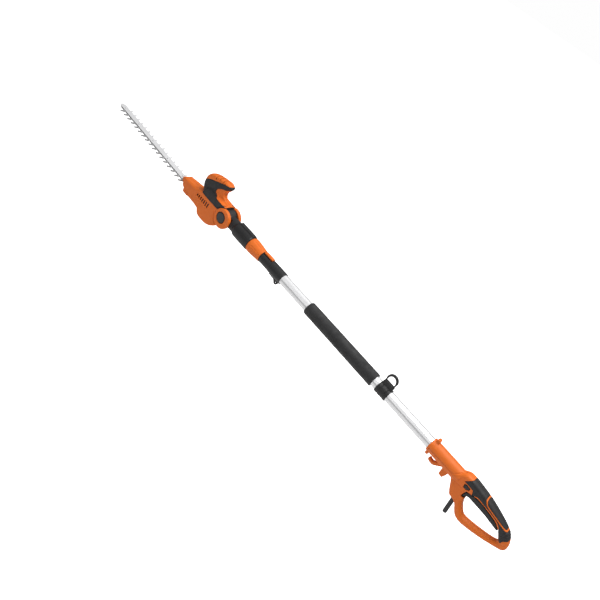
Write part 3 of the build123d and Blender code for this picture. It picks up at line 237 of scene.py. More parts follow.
def rubber(name, base, rough, cell):
    shader = Shader(name)
    colour = shader.mottle(base, shader.noise(14.0, detail=4.0, rough=0.6), tones=(0.85, 1.15))
    dust = shader.noise(220.0, rough=0.7)
    colour = shader.overlay(colour, scaled(base, 2.2), dust, span=(0.5, 0.75), amount=(0.0, 0.10))
    # Painted shade in gaps and recesses
    shader.feed("Base Color", shader.paint_crease_shade(colour))
    smears = shader.noise(50.0, rough=0.6)
    shader.feed("Roughness", shader.remap(smears, span=(0.3, 0.7), to=rough))
    fine = shader.noise(cell * 0.6, detail=2.0)
    relief = shader.weighted(shader.cells(cell), fine, weights=(0.8, 0.3))
    shader.bump(relief, strength=0.5, distance=0.00015)
    return shader.material


def foam(name, base):
    shader = Shader(name)
    blotches = shader.noise(20.0, detail=4.0, rough=0.65)
    colour = shader.mottle(base, blotches, tones=(0.86, 1.16), span=(0.3, 0.72))
    pores = shader.cells(620.0)
    colour = shader.overlay(colour, scaled(base, 0.45), pores, span=(0.0, 0.35), amount=(0.5, 0.0))
    specks = shader.noise(900.0, detail=2.0, rough=0.6)
    colour = shader.overlay(colour, scaled(base, 2.4), specks, span=(0.58, 0.75), amount=(0.0, 0.25))
    shader.feed("Base Color", colour)
    shader.feed("Roughness", shader.remap(shader.noise(60.0), span=(0.3, 0.7), to=(0.62, 0.85)))
    shader.feed("Sheen Weight", 0.16)
    shader.feed("Sheen Roughness", 0.5)
    lumps = shader.noise(260.0, detail=4.0, rough=0.7)
    shader.bump(shader.weighted(pores, lumps, weights=(1.0, 0.5)), strength=0.6, distance=0.0003)
    return shader.material


def metal(name, base, rough, brush, bump=0.15, spots=0.0, variation=0.06, metallic=1.0,
          painted_side_shade=0.0, painted_left_shade=0.0, painted_light_bands=None):
    """Brush is the noise scale along X, Y and Z; spots and the painted shade values are amounts."""
    shader = Shader(name)
    streaks = shader.noise(1.0, detail=4.0, rough=0.6, vector=shader.stretched(brush))
    blotches = shader.noise(16.0, detail=4.0, rough=0.6)
    colour = shader.mottle(base, blotches, tones=(1 - variation, 1 + variation))
    colour = shader.overlay(colour, scaled(base, 0.75), streaks, span=(0.4, 0.7), amount=(0.0, 0.15))
    if spots:
        mask = shader.noise(240.0, detail=6.0, rough=0.75)
        colour = shader.overlay(colour, scaled(base, 0.35), mask, span=(0.6, 0.72),
                                amount=(0.0, spots))
    if painted_side_shade:
        # Painted shade on faces turned to either side, -Y or +Y
        mask = shader.maths("ABSOLUTE", shader.facing((0, 1, 0)))
        colour = shader.overlay(colour, scaled(base, 0.22), mask, span=(0.55, 0.85),
                                amount=(0.0, painted_side_shade))
    if painted_left_shade:
        # Painted shade on the part furthest to the left, the near row of teeth, by its Y in metres
        split = shader.node("ShaderNodeSeparateXYZ")
        shader.link(shader.geometry("Position"), split.inputs[0])
        colour = shader.overlay(colour, scaled(base, 0.10), split.outputs[1],
                                span=(-0.0155, -0.0125), amount=(painted_left_shade, 0.0))
    if painted_light_bands:
        # Painted light and shade: lengthwise highlight and reflection bands, placed by how far the
        # surface faces up and to the right
        facing = shader.remap(shader.facing((0, 0.571, 0.821)), span=(-1, 1), to=(0, 1))
        tones = shader.ramp(facing, [(position, grey(level)) for position, level in painted_light_bands])
        colour = shader.mix(1.0, colour, tones, "MULTIPLY")
    shader.feed("Base Color", colour)
    shader.feed("Metallic", metallic)
    polish = shader.weighted(streaks, blotches, weights=(0.6, 0.4))
    shader.feed("Roughness", shader.remap(polish, span=(0.35, 0.65), to=rough))
    shader.bump(streaks, strength=bump, distance=0.00008)
    return shader.material


# Painted highlight and reflection bands of the tube, by which way the surface faces: (position on
# the ramp, grey level)
TUBE_PAINTED_LIGHT = [
    (0.0, 0.86), (0.12, 0.95), (0.22, 0.86), (0.345, 0.60), (0.40, 0.98), (0.60, 1.0),
    (0.655, 0.88), (0.70, 1.0), (0.90, 1.0), (0.95, 0.62), (1.0, 0.75),
]

MATERIALS = {
    "orange_plastic": plastic("orange_moulded", srgb(224, 110, 36), rough=(0.42, 0.55),
                              variation=0.04, wear=1.12, specular=0.28),
    "black_plastic": plastic("black_moulded", srgb(34, 34, 35), rough=(0.40, 0.54),
                             variation=0.16, wear=1.7, specular=0.4),
    "soft_grip": rubber("soft_overmould", srgb(32, 31, 32), rough=(0.55, 0.72), cell=1100.0),
    "foam": foam("foam_sleeve", srgb(30, 30, 31)),
    "cable_rubber": rubber("cord_rubber", srgb(38, 38, 40), rough=(0.5, 0.62), cell=1800.0),
    # The tube carries painted highlight and reflection bands.
    "pole_aluminium": metal("drawn_tube", (0.93, 0.93, 0.94, 1), rough=(0.16, 0.24),
                            brush=(14, 900, 900), variation=0.02, bump=0.06, metallic=0.4,
                            painted_light_bands=TUBE_PAINTED_LIGHT),
    "gear_aluminium": metal("cast_aluminium", (0.70, 0.70, 0.71, 1), rough=(0.42, 0.58),
                            brush=(500, 500, 500), bump=0.5),
    # The blade steel has painted shade on its side faces and on its leftmost part.
    "blade_steel": metal("ground_steel", (0.90, 0.90, 0.91, 1), rough=(0.26, 0.38),
                         brush=(900, 60, 900), spots=0.12, painted_side_shade=0.85, metallic=0.45,
                         painted_left_shade=0.6),
    "fastener_steel": metal("zinc_steel", (0.66, 0.67, 0.69, 1), rough=(0.28, 0.42),
                            brush=(700, 700, 700), spots=0.25),
    "gear_steel": metal("hardened_steel", (0.46, 0.47, 0.49, 1), rough=(0.26, 0.42),
                        brush=(600, 600, 200), spots=0.3),
    "bronze": metal("sintered_bronze", srgb(176, 128, 74), rough=(0.38, 0.52),
                    brush=(800, 800, 800), spots=0.5, bump=0.4),
    "carbon": rubber("pressed_carbon", srgb(36, 36, 38), rough=(0.5, 0.7), cell=2400.0),
}
BUTTON = plastic("button_black", srgb(40, 40, 43), rough=(0.38, 0.5), variation=0.12,
                 wear=1.8, specular=0.5)


def dress_cad_pieces():
    # All the slots are read before any piece is dressed, since pieces may share a mesh.
    slots = {}
    for name, piece in NODES.items():
        found = [m.name for m in piece.data.materials if m]
        slots[name] = found[0].split(".")[0] if found else "black_plastic"
    for name, piece in NODES.items():
        dress(piece, MATERIALS.get(slots[name], MATERIALS["black_plastic"]))
    dress(NODES["guide_screws"], MATERIALS["blade_steel"])


dress_cad_pieces()


# ------------------------------------------------------------------ shape fields
# A shape is a field of distances in mm, negative inside it.
def segment_squared(x, z, start, end):
    """Squared distance to a line segment."""
    run, rise = end[0] - start[0], end[1] - start[1]
    from_x, from_z = x - start[0], z - start[1]
    along = np.clip((from_x * run + from_z * rise) / (run * run + rise * rise + 1e-12), 0, 1)
    return (from_x - run * along) ** 2 + (from_z - rise * along) ** 2


def outline_distance(x, z, points):
    """Signed distance to a closed outline."""
    points = np.asarray(points, float)
    squared, sign = 1e9, 1.0
    for start, end in zip(points, np.roll(points, -1, 0)):
        squared = np.minimum(squared, segment_squared(x, z, start, end))
        run, rise = end - start
        above, below = z >= start[1], z < end[1]
        left = run * (z - start[1]) > rise * (x - start[0])
        crossed = (above & below & left) | (~above & ~below & ~left)
        sign = np.where(crossed, -sign, sign)
    return sign * np.sqrt(squared)


def line_distance(x, z, points):
    """Distance to an open line."""
    pairs = zip(points[:-1], points[1:])
    return np.sqrt(reduce(np.minimum, [segment_squared(x, z, *pair) for pair in pairs]))


def round_corners(points, rounds=2, closed=True):
    """Cut each corner, so that the line runs as a smooth curve."""
    points = np.asarray(points, float)
    for _ in range(rounds):
        start = points if closed else points[:-1]
        end = np.roll(points, -1, 0) if closed else points[1:]
        cut_points = np.empty((2 * len(start), 2))
        cut_points[0::2] = 0.8 * start + 0.2 * end
        cut_points[1::2] = 0.2 * start + 0.8 * end
        points = cut_points if closed else np.vstack([points[:1], cut_points, points[-1:]])
    return points


def extrude(side, across, half, edge):
    """A side shape given a half width, with its edges rounded by a radius."""
    a, b = side + edge, across - half + edge
    return np.minimum(np.maximum(a, b), 0) + np.hypot(np.maximum(a, 0), np.maximum(b, 0)) - edge


def overlap(*fields):
    return reduce(np.maximum, fields)


def cut(solid, tool):
    return np.maximum(solid, -tool)


def soft_join(a, b, blend):
    h = np.clip(0.5 + 0.5 * (b - a) / blend, 0, 1)
    return b * (1 - h) + a * h - blend * h * (1 - h)


def soft_overlap(a, b, blend):
    return -soft_join(-a, -b, blend)


def soft_cut(solid, tool, blend):
    return soft_overlap(solid, -tool, blend)


def slab(value, centre, half):
    return np.abs(value - centre) - half


def groove(distance, depth, width):
    """What to add to a field to press a soft groove along a line."""
    return depth * np.exp(-((distance / width) ** 2))


class Grid:
    """Sample points over the left half of a piece, and side-view shapes on them."""

    def __init__(self, low, high):
        self.low = low
        x, y, z = [np.arange(a, b + GRID_STEP, GRID_STEP) for a, b in zip(low, high)]
        self.x, self.y, self.z = x[:, None, None], y[None, :, None], z[None, None, :]
        self.off = np.abs(self.y)  # distance from the middle plane

    def axes(self):
        return self.x, self.y, self.z, self.off

    def outline(self, points):
        return outline_distance(self.x, self.z, points)

    def lines(self, *lines):
        return reduce(np.minimum, [line_distance(self.x, self.z, line) for line in lines])

    def disc(self, centre, radius=0.0):
        return np.hypot(self.x - centre[0], self.z - centre[1]) - radius


def screw_posts(grid, shell, solid, centres, radius, reach):
    """Add posts inside the shell, out to a reach from the middle, and bore them."""
    nearest = reduce(np.minimum, [grid.disc(centre) for centre in centres])
    posts = overlap(nearest - radius, grid.off - reach, solid + 1.0)
    bores = overlap(nearest - 1.6, grid.off - 9.0)
    return cut(np.minimum(shell, posts), bores)


# ------------------------------------------------------------------ meshing
def surface_net(field, low):
    """One vertex for each grid cell the surface crosses, one quad for each crossed edge."""
    size = field.shape
    inside = field < 0
    strides = np.array([(size[1] - 1) * (size[2] - 1), size[2] - 1, 1])
    points, cells, flips = [], [], []
    for axis in range(3):
        here, ahead = [slice(None)] * 3, [slice(None)] * 3
        here[axis], ahead[axis] = slice(0, -1), slice(1, None)
        found = np.argwhere(inside[tuple(here)] != inside[tuple(ahead)])
        second, third = (axis + 1) % 3, (axis + 2) % 3
        within = (found[:, second] > 0) & (found[:, third] > 0)
        within &= (found[:, second] < size[second] - 1) & (found[:, third] < size[third] - 1)
        found = found[within]
        after = found.copy()
        after[:, axis] += 1
        near, far = field[tuple(found.T)], field[tuple(after.T)]
        point = found.astype(float)
        point[:, axis] += near / (near - far)
        corners = np.empty((len(found), 4), np.int64)
        for corner, (shift_2, shift_3) in enumerate(((-1, -1), (0, -1), (0, 0), (-1, 0))):
            cell = found.copy()
            cell[:, second] += shift_2
            cell[:, third] += shift_3
            corners[:, corner] = cell @ strides
        points.append(point)
        cells.append(corners)
        flips.append(near > 0)
    points, cells, flips = np.vstack(points), np.vstack(cells), np.concatenate(flips)
    cells[flips] = cells[flips][:, ::-1]
    index = np.unique(cells.ravel(), return_inverse=True)[1].ravel()
    count = np.bincount(index)
    # A vertex is the mean of the crossings round its cell.
    means = [np.bincount(index, weights=np.repeat(points[:, k], 4)) / count for k in range(3)]
    return np.stack(means, 1) * GRID_STEP + np.asarray(low), index.reshape(-1, 4)


def relax(verts, quads, passes=2, strength=0.35):
    """Draw each vertex toward the mean of its neighbours."""
    edges = np.vstack([quads[:, [k, (k + 1) % 4]] for k in range(4)])
    edges = np.vstack([edges, edges[:, ::-1]])
    start, end = edges.T
    count = np.bincount(start, minlength=len(verts))[:, None]
    for _ in range(passes):
        sums = [np.bincount(start, weights=verts[end, k], minlength=len(verts)) for k in range(3)]
        verts = verts + strength * (np.stack(sums, 1) / count - verts)
    return verts


def mesh_field(field, grid):
    verts, quads = surface_net(field, grid.low)
    return relax(verts, quads), quads


def make_piece(name, verts, faces, body, slot, replaced):
    """A smooth mesh object from vertices in mm."""
    mesh = bpy.data.meshes.new(name)
    mesh.from_pydata((verts / 1000.0).tolist(), [], [list(map(int, face)) for face in faces])
    mesh.validate()
    mesh.update()
    piece = add_object(name, mesh)
    mesh.polygons.foreach_set("use_smooth", [True] * len(mesh.polygons))
    mesh.materials.append(MATERIALS[slot])
    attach(piece, body)
    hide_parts(replaced)


def make_halves(name, field, grid, body, slot, replaced, place=None):
    """The left half, stopped just short of the middle plane, and its mirror image."""
    verts, quads = mesh_field(np.maximum(field, grid.y + 0.12), grid)
    for side in ("left", "right"):
        if side == "right":
            verts, quads = verts * MIRROR, quads[:, ::-1]
        placed = place(verts) if place else verts
        make_piece(f"{name}_{side}", placed, quads, body, slot, f"{replaced}_{side}")


# ------------------------------------------------------------------ rear handle
# Outlines and lines are (x, z) seen from the side.
HANDLE_TOP = [
    (88, 10), (104, 13.5), (110, 17.5), (115, 22), (121, 27), (128, 29.6), (144, 29.8),
    (163, 28), (187, 25), (211, 21), (235, 15), (259, 8), (282, 0), (292, -5), (300, -12),
]
HANDLE_OUTLINE = [
    (60, 10), *HANDLE_TOP,
    (307, -20), (313.5, -30), (317.5, -41), (317, -52), (311, -59), (300, -64.5),
    (280, -73.5), (262, -81.5), (241.5, -88.6), (227, -93.3), (203, -99.6), (190, -100.4),
    (178, -97.5), (169, -91), (161, -81.5), (153, -71), (145, -66), (137, -64.5),
    (126, -64), (115, -49), (104, -30), (95, -18), (88, -15), (60, -12),
]
OPENING_TOP = [(273, -24), (266, -18), (251, -8.5), (227, -4.5), (199, -1), (172, -4)]
OPENING = [
    (158, -18), (159.5, -30), (161.5, -44), (168, -57), (176, -67), (186, -77.5),
    (196, -80.5), (226, -74.5), (262, -64), (280, -57), (288, -51), (290, -45), (288, -40),
    (281, -32), *OPENING_TOP, (168, -8),
]
UPPER_OUTLINE = [
    (84, -13), *HANDLE_TOP, (308, -22), (312, -34), (304, -44), (290, -44), *OPENING_TOP,
    (166, -9.5), (150, -12.5), (135, -12.8), (118, -14.5), (98, -16),
]
GRIP_OUTLINE = [
    (128.5, 10), (136, 21.5), (141.5, 28), (146.5, 32), (150, 45), (330, 45), (330, -12),
    (308, -19), (302, -24), (297.5, -30), (296.5, -34), (296, -41), (292, -42), (288, -39),
    (281, -31), (272, -22), (268, -15), (259, -7.5), (251, -4), (227, -0.5), (199, 2.5),
    (172, -4), (165, -3.5), (162.5, 3.5), (159.5, 8.4), (150, 9.7),
]
# Half width of the upper part: stations in x, then widths
UPPER_HALF_WIDTH = (80, 100, 130, 200, 260, 310), (19.4, 18.2, 17.0, 17.2, 16.6, 15.0)
BARREL_RADIUS = 20.7
# Lower part of the barrel in cross-section: (y, z)
KEEL = [(-18.9, -3.0), (-12.0, -19.0), (12.0, -19.0), (18.9, -3.0), (18.9, 0), (-18.9, 0)]
HANDLE_HOOK = [
    (24, -30), (21, -38), (28, -43), (42, -43.5), (54, -33), (68, -19), (68, -12),
    (58, -12), (46, -24.5), (38, -33), (31, -33),
]
HANDLE_BLOCK = [(65, -12), (69, -43), (82, -45), (86, -30), (88, -12)]
HANDLE_CREASE = [(-4, -2.6), (88, -2.2), (96, 1.2), (104, 10.8), (113, 22), (119, 33)]
LOW_LINE = [
    (173.5, -1.2), (177.5, 3.0), (187.4, 3.9), (199.6, 2.9), (223.7, 1.1), (245, -1.1),
    (257.8, -5.0), (267.5, -14.0),
]
TOP_LINE = [
    (205, 40), (200, 31), (196.6, 25.7), (200, 19), (208.9, 11.5), (214.9, 9.5), (247, 4),
    (278, -2.2), (284, -2.6), (291, -0.5), (296, 3.5), (299, 9),
]
RIB_GROOVES = [
    ((278.3, -17.6), (294, 5)), ((284.7, -23.4), (300.1, -3.4)),
    ((289.4, -30.3), (304.7, -10.2)),
]
TRIGGER_WINDOW = [
    (148.5, -34), (148.3, -25), (149.5, -14), (153, -8), (160, -5.6), (168, -3.5),
    (172, -3.2), (199, -0.4), (227, -3.8), (252, -8.0), (268, -16.6), (274, -24),
    (268, -27), (160, -27), (160, -34),
]
TRIGGER_ROOM = [
    (148.5, -34), (148, -6), (152, 1.5), (160, 4), (172, 5), (200, 6), (228, 0), (250, -4),
    (268, -12), (274, -20), (274, -26), (160, -27),
]
# Left solid within the trigger's room
ROOM_KEPT = [(130, 8), (133, -9.5), (149, -8), (155.5, -2), (154.5, 8)]
LOCK_OUTLINE = [(134.6, 4.2), (137.2, -6.8), (146.2, -5.6), (152.4, -0.4), (151.6, 5.6), (139, 6.2)]
CORD_START = (140.6, -57)
CORD_DIRECTION = (9 / 46.87, -46 / 46.87)
HANDLE_SCREWS = [(112, 4), (120, -48), (183, -86), (306, -53), (212, 12)]


def lug(grid, x_centre, top, radius, foot_z, foot_half):
    """A round end on a straight foot."""
    x, _, z, off = grid.axes()
    foot = overlap(slab(x, x_centre, radius), slab(z, foot_z, foot_half))
    return np.maximum(np.minimum(grid.disc((x_centre, top), radius), foot), off - 8.0)


def handle_solid(grid):
    x, y, z, off = grid.axes()
    frame = cut(grid.outline(round_corners(HANDLE_OUTLINE)), grid.outline(round_corners(OPENING)))
    loop = extrude(frame, off, half=13.2, edge=8.6)
    upper = grid.outline(round_corners(UPPER_OUTLINE, rounds=1))
    upper = extrude(upper, off, half=np.interp(x, *UPPER_HALF_WIDTH), edge=9.0)
    # The barrel is round above, with a keel below a side crease.
    radius = np.hypot(y, z)
    section = np.minimum(overlap(radius - BARREL_RADIUS, -(z + 3.0)), outline_distance(y, z, KEEL))
    ends = overlap(-x, x - 115.0 + np.maximum(-z, 0) * 0.8)
    barrel = soft_overlap(section, ends, blend=0.6)
    rim = overlap(radius - 21.3, slab(x, 3.2, half=3.2))
    top_lug = lug(grid, 11, 26.5, radius=5.4, foot_z=21, foot_half=5.5)
    low_lug = lug(grid, 9, -27.5, radius=5.2, foot_z=-21, foot_half=6.5)
    lugs = soft_join(top_lug, low_lug, blend=0.5) + 0.3
    hook = grid.outline(round_corners(HANDLE_HOOK, rounds=1))
    hook = extrude(hook, off, half=6.0, edge=2.2)
    block = extrude(grid.outline(HANDLE_BLOCK), off, half=10.0, edge=1.6)
    solid = soft_join(loop, upper, blend=1.4)
    solid = soft_join(solid, barrel, blend=2.2)
    solid = soft_join(solid, rim, blend=0.8)
    solid = soft_join(solid, lugs, blend=2.0)
    solid = soft_join(solid, soft_join(hook, block, blend=1.0), blend=1.6)
    # Side crease that turns up over the shoulder
    return solid + groove(grid.lines(HANDLE_CREASE), depth=1.5, width=1.15) * (off > 8)


def grip_area(grid):
    """The grip's side outline, and the shell's lines that show through it."""
    low = grid.lines(LOW_LINE) - 1.95
    top = grid.lines(round_corners(TOP_LINE, closed=False))
    top = top - np.interp(grid.x, [230, 290], [1.9, 1.5])
    return grid.outline(GRIP_OUTLINE), np.minimum(low, top)


def cord_hole(grid):
    """A hole from the cord's start on along its direction."""
    from_x, from_z = grid.x - CORD_START[0], grid.z - CORD_START[1]
    along = from_x * CORD_DIRECTION[0] + from_z * CORD_DIRECTION[1]
    side_squared = np.maximum(from_x ** 2 + from_z ** 2 - along * along, 0)
    return overlap(np.sqrt(side_squared + grid.y * grid.y) - 6.5, -along)


def handle_shell(grid, solid):
    x, y, z, off = grid.axes()
    area, inlay = grip_area(grid)
    shell = soft_cut(solid, overlap(area, -inlay, -(solid + 1.7)), blend=0.4)
    # Hollow, with a 2.7 wall, and open at the middle plane
    shell = soft_cut(shell, np.minimum(solid + 2.7, off), blend=0.3)
    # The barrel's bore, wide at the front and narrower behind
    radius = np.hypot(y, z)
    shell = cut(shell, overlap(radius - 17.56, x - 46.0))
    shell = cut(shell, overlap(radius - 15.5, slab(x, 76, half=30)))
    # Room for the trigger
    shell = cut(shell, overlap(grid.outline(TRIGGER_WINDOW), off - 20))
    room = cut(grid.outline(TRIGGER_ROOM), grid.outline(ROOM_KEPT))
    shell = cut(shell, overlap(room, off - 12.7))
    # Lock-off window: a dished surround, the window and a sleeve inside
    lock = grid.outline(LOCK_OUTLINE)
    window = lock - 0.35
    shell = soft_cut(shell, overlap(lock - 1.3, 15.0 - off), blend=0.4)
    shell = cut(shell, window)
    shell = np.minimum(shell, overlap(lock - 2.0, -window, off - 14.6))
    shell = cut(shell, cord_hole(grid))
    shell = screw_posts(grid, shell, solid, HANDLE_SCREWS, radius=3.6, reach=12.9)
    # Rectangular pocket in the block below the barrel
    return cut(shell, overlap(slab(x, 84, half=6), slab(z, -30, half=8), off - 6))


def handle_grip(grid, solid):
    area, inlay = grip_area(grid)
    ribs = groove(grid.lines(*RIB_GROOVES), depth=1.0, width=1.3)
    return overlap(area + 0.25, -(inlay - 0.2), solid - 0.25 + ribs, -(solid + 1.55))


def make_lock_off(grid):
    button = extrude(grid.outline(LOCK_OUTLINE) + 0.1, grid.off, half=16.6, edge=1.8)
    verts, quads = mesh_field(np.maximum(button, grid.y), grid)
    both_verts = np.vstack([verts, verts * MIRROR])
    both_quads = np.vstack([quads, quads[:, ::-1] + len(verts)])
    make_piece("lock_off_skin", both_verts, both_quads,
               "lock_off_button", "black_plastic", "lock_off_button")


def make_handle():
    grid = Grid(low=(-2.0, -22.4, -104.0), high=(320.0, 1.2, 36.0))
    solid = handle_solid(grid)
    make_halves("handle_body", handle_shell(grid, solid), grid,
                "pole", "orange_plastic", "handle_shell")
    make_halves("handle_grip_skin", handle_grip(grid, solid), grid,
                "pole", "soft_grip", "handle_grip")
    make_lock_off(grid)


make_handle()

# ------------------------------------------------------------------ cutting head
# Outlines and lines are (x, z) in the head's own frame.
HEAD_OUTLINE = [
    (-239, -26.5), (-222, -13.6), (-188, -7.8), (-156, -3.5), (-122, 6), (-112, 39.5),
    (-9, 39.5), (-2, 24), (-2, -28), (-10, -42.5), (-18, -53.5), (-33, -66), (-52, -73.6),
    (-69.5, -75.6), (-89.5, -75.6), (-102.5, -72.4), (-113.5, -57.0), (-135, -54.8),
    (-176, -54.8), (-206, -50.2), (-214, -44.5), (-224, -35.8),
]
HOOK_OUTLINE = [
    (-112, -20), (-121, -8), (-127, -1.5), (-137, 13), (-143.3, 25), (-146.7, 34.3),
    (-147.6, 49.5), (-146, 60), (-141, 70), (-131.5, 79), (-119, 84.6), (-100, 90),
    (-76, 94.8), (-57, 97.8), (-43, 96.6), (-35.5, 94), (-32.5, 89.5), (-35.4, 80.5),
    (-43.4, 69.4), (-47.3, 63.4), (-48, 55.4), (-44.8, 48.6), (-36.6, 43), (-30, 34),
    (-60, 0),
]
# The hook's front edge, x by z
FRONT_X, FRONT_Z = zip(*HOOK_OUTLINE[:12], (-76, 95))
PAD_OUTLINE = [
    (-135, 14), (-126, 8.6), (-113, 4.6), (-30, 7.0), (-16, 9), (-3, 34.0), (-12, 33.6),
    (-24, 32.6), (-40, 32.2), (-57, 32.8), (-67.5, 38), (-77.0, 45.4), (-77, 55.4),
    (-64.4, 66.8), (-46.7, 73.5), (-37, 80), (-29, 88), (-29, 102), (-33.5, 102),
    (-36.4, 93.0), (-51.3, 90.6), (-60.5, 88.0), (-91.7, 74.2), (-119.3, 62.2),
    (-128, 56.5), (-140, 46), (-162, 38), (-162, 20),
]
SCOOP_OUTLINE = [
    (-79, 49.5), (-69.3, 38.0), (-15, 34), (-15, 92), (-34, 90), (-46.7, 75),
    (-64.4, 67.3), (-76, 56),
]
LOWER_GROOVE = [(-213, -46.8), (-199.4, -47.7), (-189.8, -48.4), (-168, -50.0)]
HOOK_SLOTS = [((-109, 95), (-98.5, 78.5)), ((-92, 100), (-83, 85)), ((-75, 104), (-67.5, 90))]
HEAD_SCREWS = [(-216, -25.5), (-128, -46), (-30, -50), (-143, 50), (-112, 78), (-50, 92)]
# Width of the main body: stations in x, then half widths or edge radii
BODY_HALF_WIDTH = (-239.2, -224, -170, -120, 40), (8.5, 18, 23.6, 25, 25)
BODY_EDGE = (-240, -225, -170, -100, 0), (4.0, 3.0, 3.0, 5.5, 5.5)
TOP_SLOPE = math.radians(11.1)
PIVOT = (0, 0)
EAR_CENTRE = (3.8, -1.6)
VENT_COUNT, VENT_PITCH = 7, 9.75


def head_to_world(points):
    """From the tilted head frame to the shared frame."""
    x, y, z = points.T
    across, up = math.cos(HEAD_TILT), math.sin(HEAD_TILT)
    return np.stack([PIVOT_X + across * x + up * z, y, -up * x + across * z], 1)


def head_core(grid):
    x, _, z, off = grid.axes()
    edge = np.interp(x, *BODY_EDGE)
    edge = np.where(z > 0, np.minimum(edge, 4.5), edge)
    half = np.interp(x, *BODY_HALF_WIDTH)
    core = extrude(grid.outline(HEAD_OUTLINE), off, half=half, edge=edge)
    # Bevel along the sloping top, fading out past x = -150
    above = -(x + 250) * math.sin(TOP_SLOPE) + (z + 19.1) * math.cos(TOP_SLOPE)
    bevel = 0.652 * (off - 14.5) + 0.76 * (above - 0.3) - np.maximum(x + 150, 0) * 0.5
    core = soft_overlap(core, bevel, blend=0.7)
    # The top falls away to either side.
    return soft_overlap(core, 0.975 * (z - 39.3 + 0.22 * off), blend=1.2)


def head_hook(grid):
    """The hooked upper part, with its front rounded in plan."""
    x, _, z, off = grid.axes()
    by_height = np.interp(z, [-20, 30, 60, 105], [21.0, 19.0, 19.0, 17.0])
    half = np.minimum(by_height, np.interp(x, [-60, -30], [19.0, 12.5]))
    centre = np.interp(z, FRONT_Z, FRONT_X) + half
    plan = np.where(x < centre, np.hypot(centre - x, off) - half, off - half)
    return extrude(grid.outline(round_corners(HOOK_OUTLINE)), plan, half=0.0, edge=8.5)


def head_solid(grid):
    x, _, z, off = grid.axes()
    solid = soft_join(head_core(grid), head_hook(grid), blend=4.0)
    # Concave flank, deeper toward the rear
    depth = 19.0 - 10.0 * np.clip((x + 78) / 42.0, 0, 1) ** 0.8
    scoop = soft_overlap(grid.outline(SCOOP_OUTLINE), depth - off, blend=5.0)
    solid = soft_cut(solid, scoop, blend=4.0)
    # Round ear on each side of the pivot
    ear = extrude(grid.disc(EAR_CENTRE, 34.2), np.abs(off - 24.25), half=6.95, edge=2.4)
    solid = soft_join(solid, cut(ear, off - 16.5), blend=1.2)
    # Crease round the ear, fading in away from it
    fade = np.clip((-(x + 0.6 * z) - 6.0) / 10.0, 0, 1) * (grid.disc(EAR_CENTRE, 35.0) > 0)
    crease = groove(grid.disc((-0.4, -5.8), 36.4), depth=2.2, width=1.6)
    solid = solid + crease * fade * (off > 20)
    # Slot between the ears, open to the rear
    slot = np.minimum(grid.disc(PIVOT, 32.0), overlap(np.abs(z) - 32.0, -x))
    solid = soft_cut(solid, overlap(slot, off - 17.3), blend=0.6)
    return solid + groove(grid.lines(LOWER_GROOVE), depth=1.6, width=1.3) * (off > 6)


def side_vents(grid):
    """A row of slanting slots that grow taller toward the rear."""
    x, _, z, _ = grid.axes()
    vents = []
    for k in range(VENT_COUNT):
        centre, top, low = -133.5 + VENT_PITCH * k, -13.0 + 1.0 * k, -19.6 - 0.63 * k
        width = np.abs(x - centre - 0.12 * (z + 16)) - 2.6
        vents.append(overlap(width, np.abs(z - (top + low) / 2) - (top - low) / 2 - 1.8))
    return reduce(np.minimum, vents)


def pad_area(grid):
    """The pad's side outline, and the field that keeps it clear of the ear."""
    return grid.outline(round_corners(PAD_OUTLINE, rounds=1)), -grid.disc(EAR_CENTRE, 35.2)


def head_shell(grid, solid):
    x, _, z, off = grid.axes()
    shell = soft_cut(solid, overlap(*pad_area(grid), -(solid + 1.5)), blend=0.4)
    # Hollow, with a 2.7 wall that thickens round the hook's slots
    slots = grid.lines(*HOOK_SLOTS) - 1.5
    shell = cut(shell, solid + 2.7 + 4.0 * np.clip(1.6 - slots / 2.5, 0, 1))
    # The ears stay solid, but for a round recess in each and a hole through.
    shell = np.minimum(shell, overlap(solid, grid.disc(EAR_CENTRE, 34.9), off - 31.4))
    shell = cut(shell, overlap(grid.disc(PIVOT, 19.6), 20.0 - off))
    shell = cut(shell, grid.disc(PIVOT, 9.6))
    shell = soft_cut(shell, overlap(side_vents(grid), 12 - off), blend=0.3)
    shell = cut(shell, overlap(slots, -(solid + 4.8)))
    # Level channel in the front, and the full-width cut at its tip
    shell = cut(shell, overlap(slab(z, -35.4, half=4.0), off - 14.5, x + 135))
    shell = cut(shell, overlap(slab(z, -35.8, half=4.4), x + 219.8))
    return screw_posts(grid, shell, solid, HEAD_SCREWS, radius=3.4, reach=16.2)


def head_pad(grid, solid):
    area, clear = pad_area(grid)
    return overlap(area + 0.3, clear + 0.1, solid - 0.5, -(solid + 1.4))


def make_head():
    grid = Grid(low=(-242.0, -32.4, -79.0), high=(40.0, 1.2, 105.0))
    solid = head_solid(grid)
    make_halves("head_body", head_shell(grid, solid), grid,
                "head", "orange_plastic", "head_shell", place=head_to_world)
    make_halves("head_pad_skin", head_pad(grid, solid), grid,
                "head", "soft_grip", "head_pad", place=head_to_world)


make_head()

# ------------------------------------------------------------------ softened CAD pieces
# New name, CAD piece, body it rides on, slot, voxel size in mm, smoothing passes, and a
# material where it isn't the slot's own
SOFTENED = [
    ("knuckle_skin", "knuckle", "pole", "black_plastic", 0.8, 8),
    ("socket_skin", "pole_socket", "pole", "black_plastic", 0.7, 5),
    ("clamp_skin", "strap_clamp", "pole", "black_plastic", 0.55, 5),
    ("collar_skin", "twist_collar", "twist_collar", "orange_plastic", 0.6, 6),
    ("latch_skin", "release_latch", "release_latch", "orange_plastic", 0.4, 4),
    ("trigger_skin", "trigger", "trigger", "black_plastic", 0.6, 8),
    ("button_left_skin", "pivot_button_left", "pivot_button_left", "black_plastic", 0.6, 5, BUTTON),
    ("button_right_skin", "pivot_button_right", "pivot_button_right", "black_plastic", 0.6, 5,
     BUTTON),
    ("nose_cover_skin", "nose_cover", "head", "orange_plastic", 0.6, 5),
]


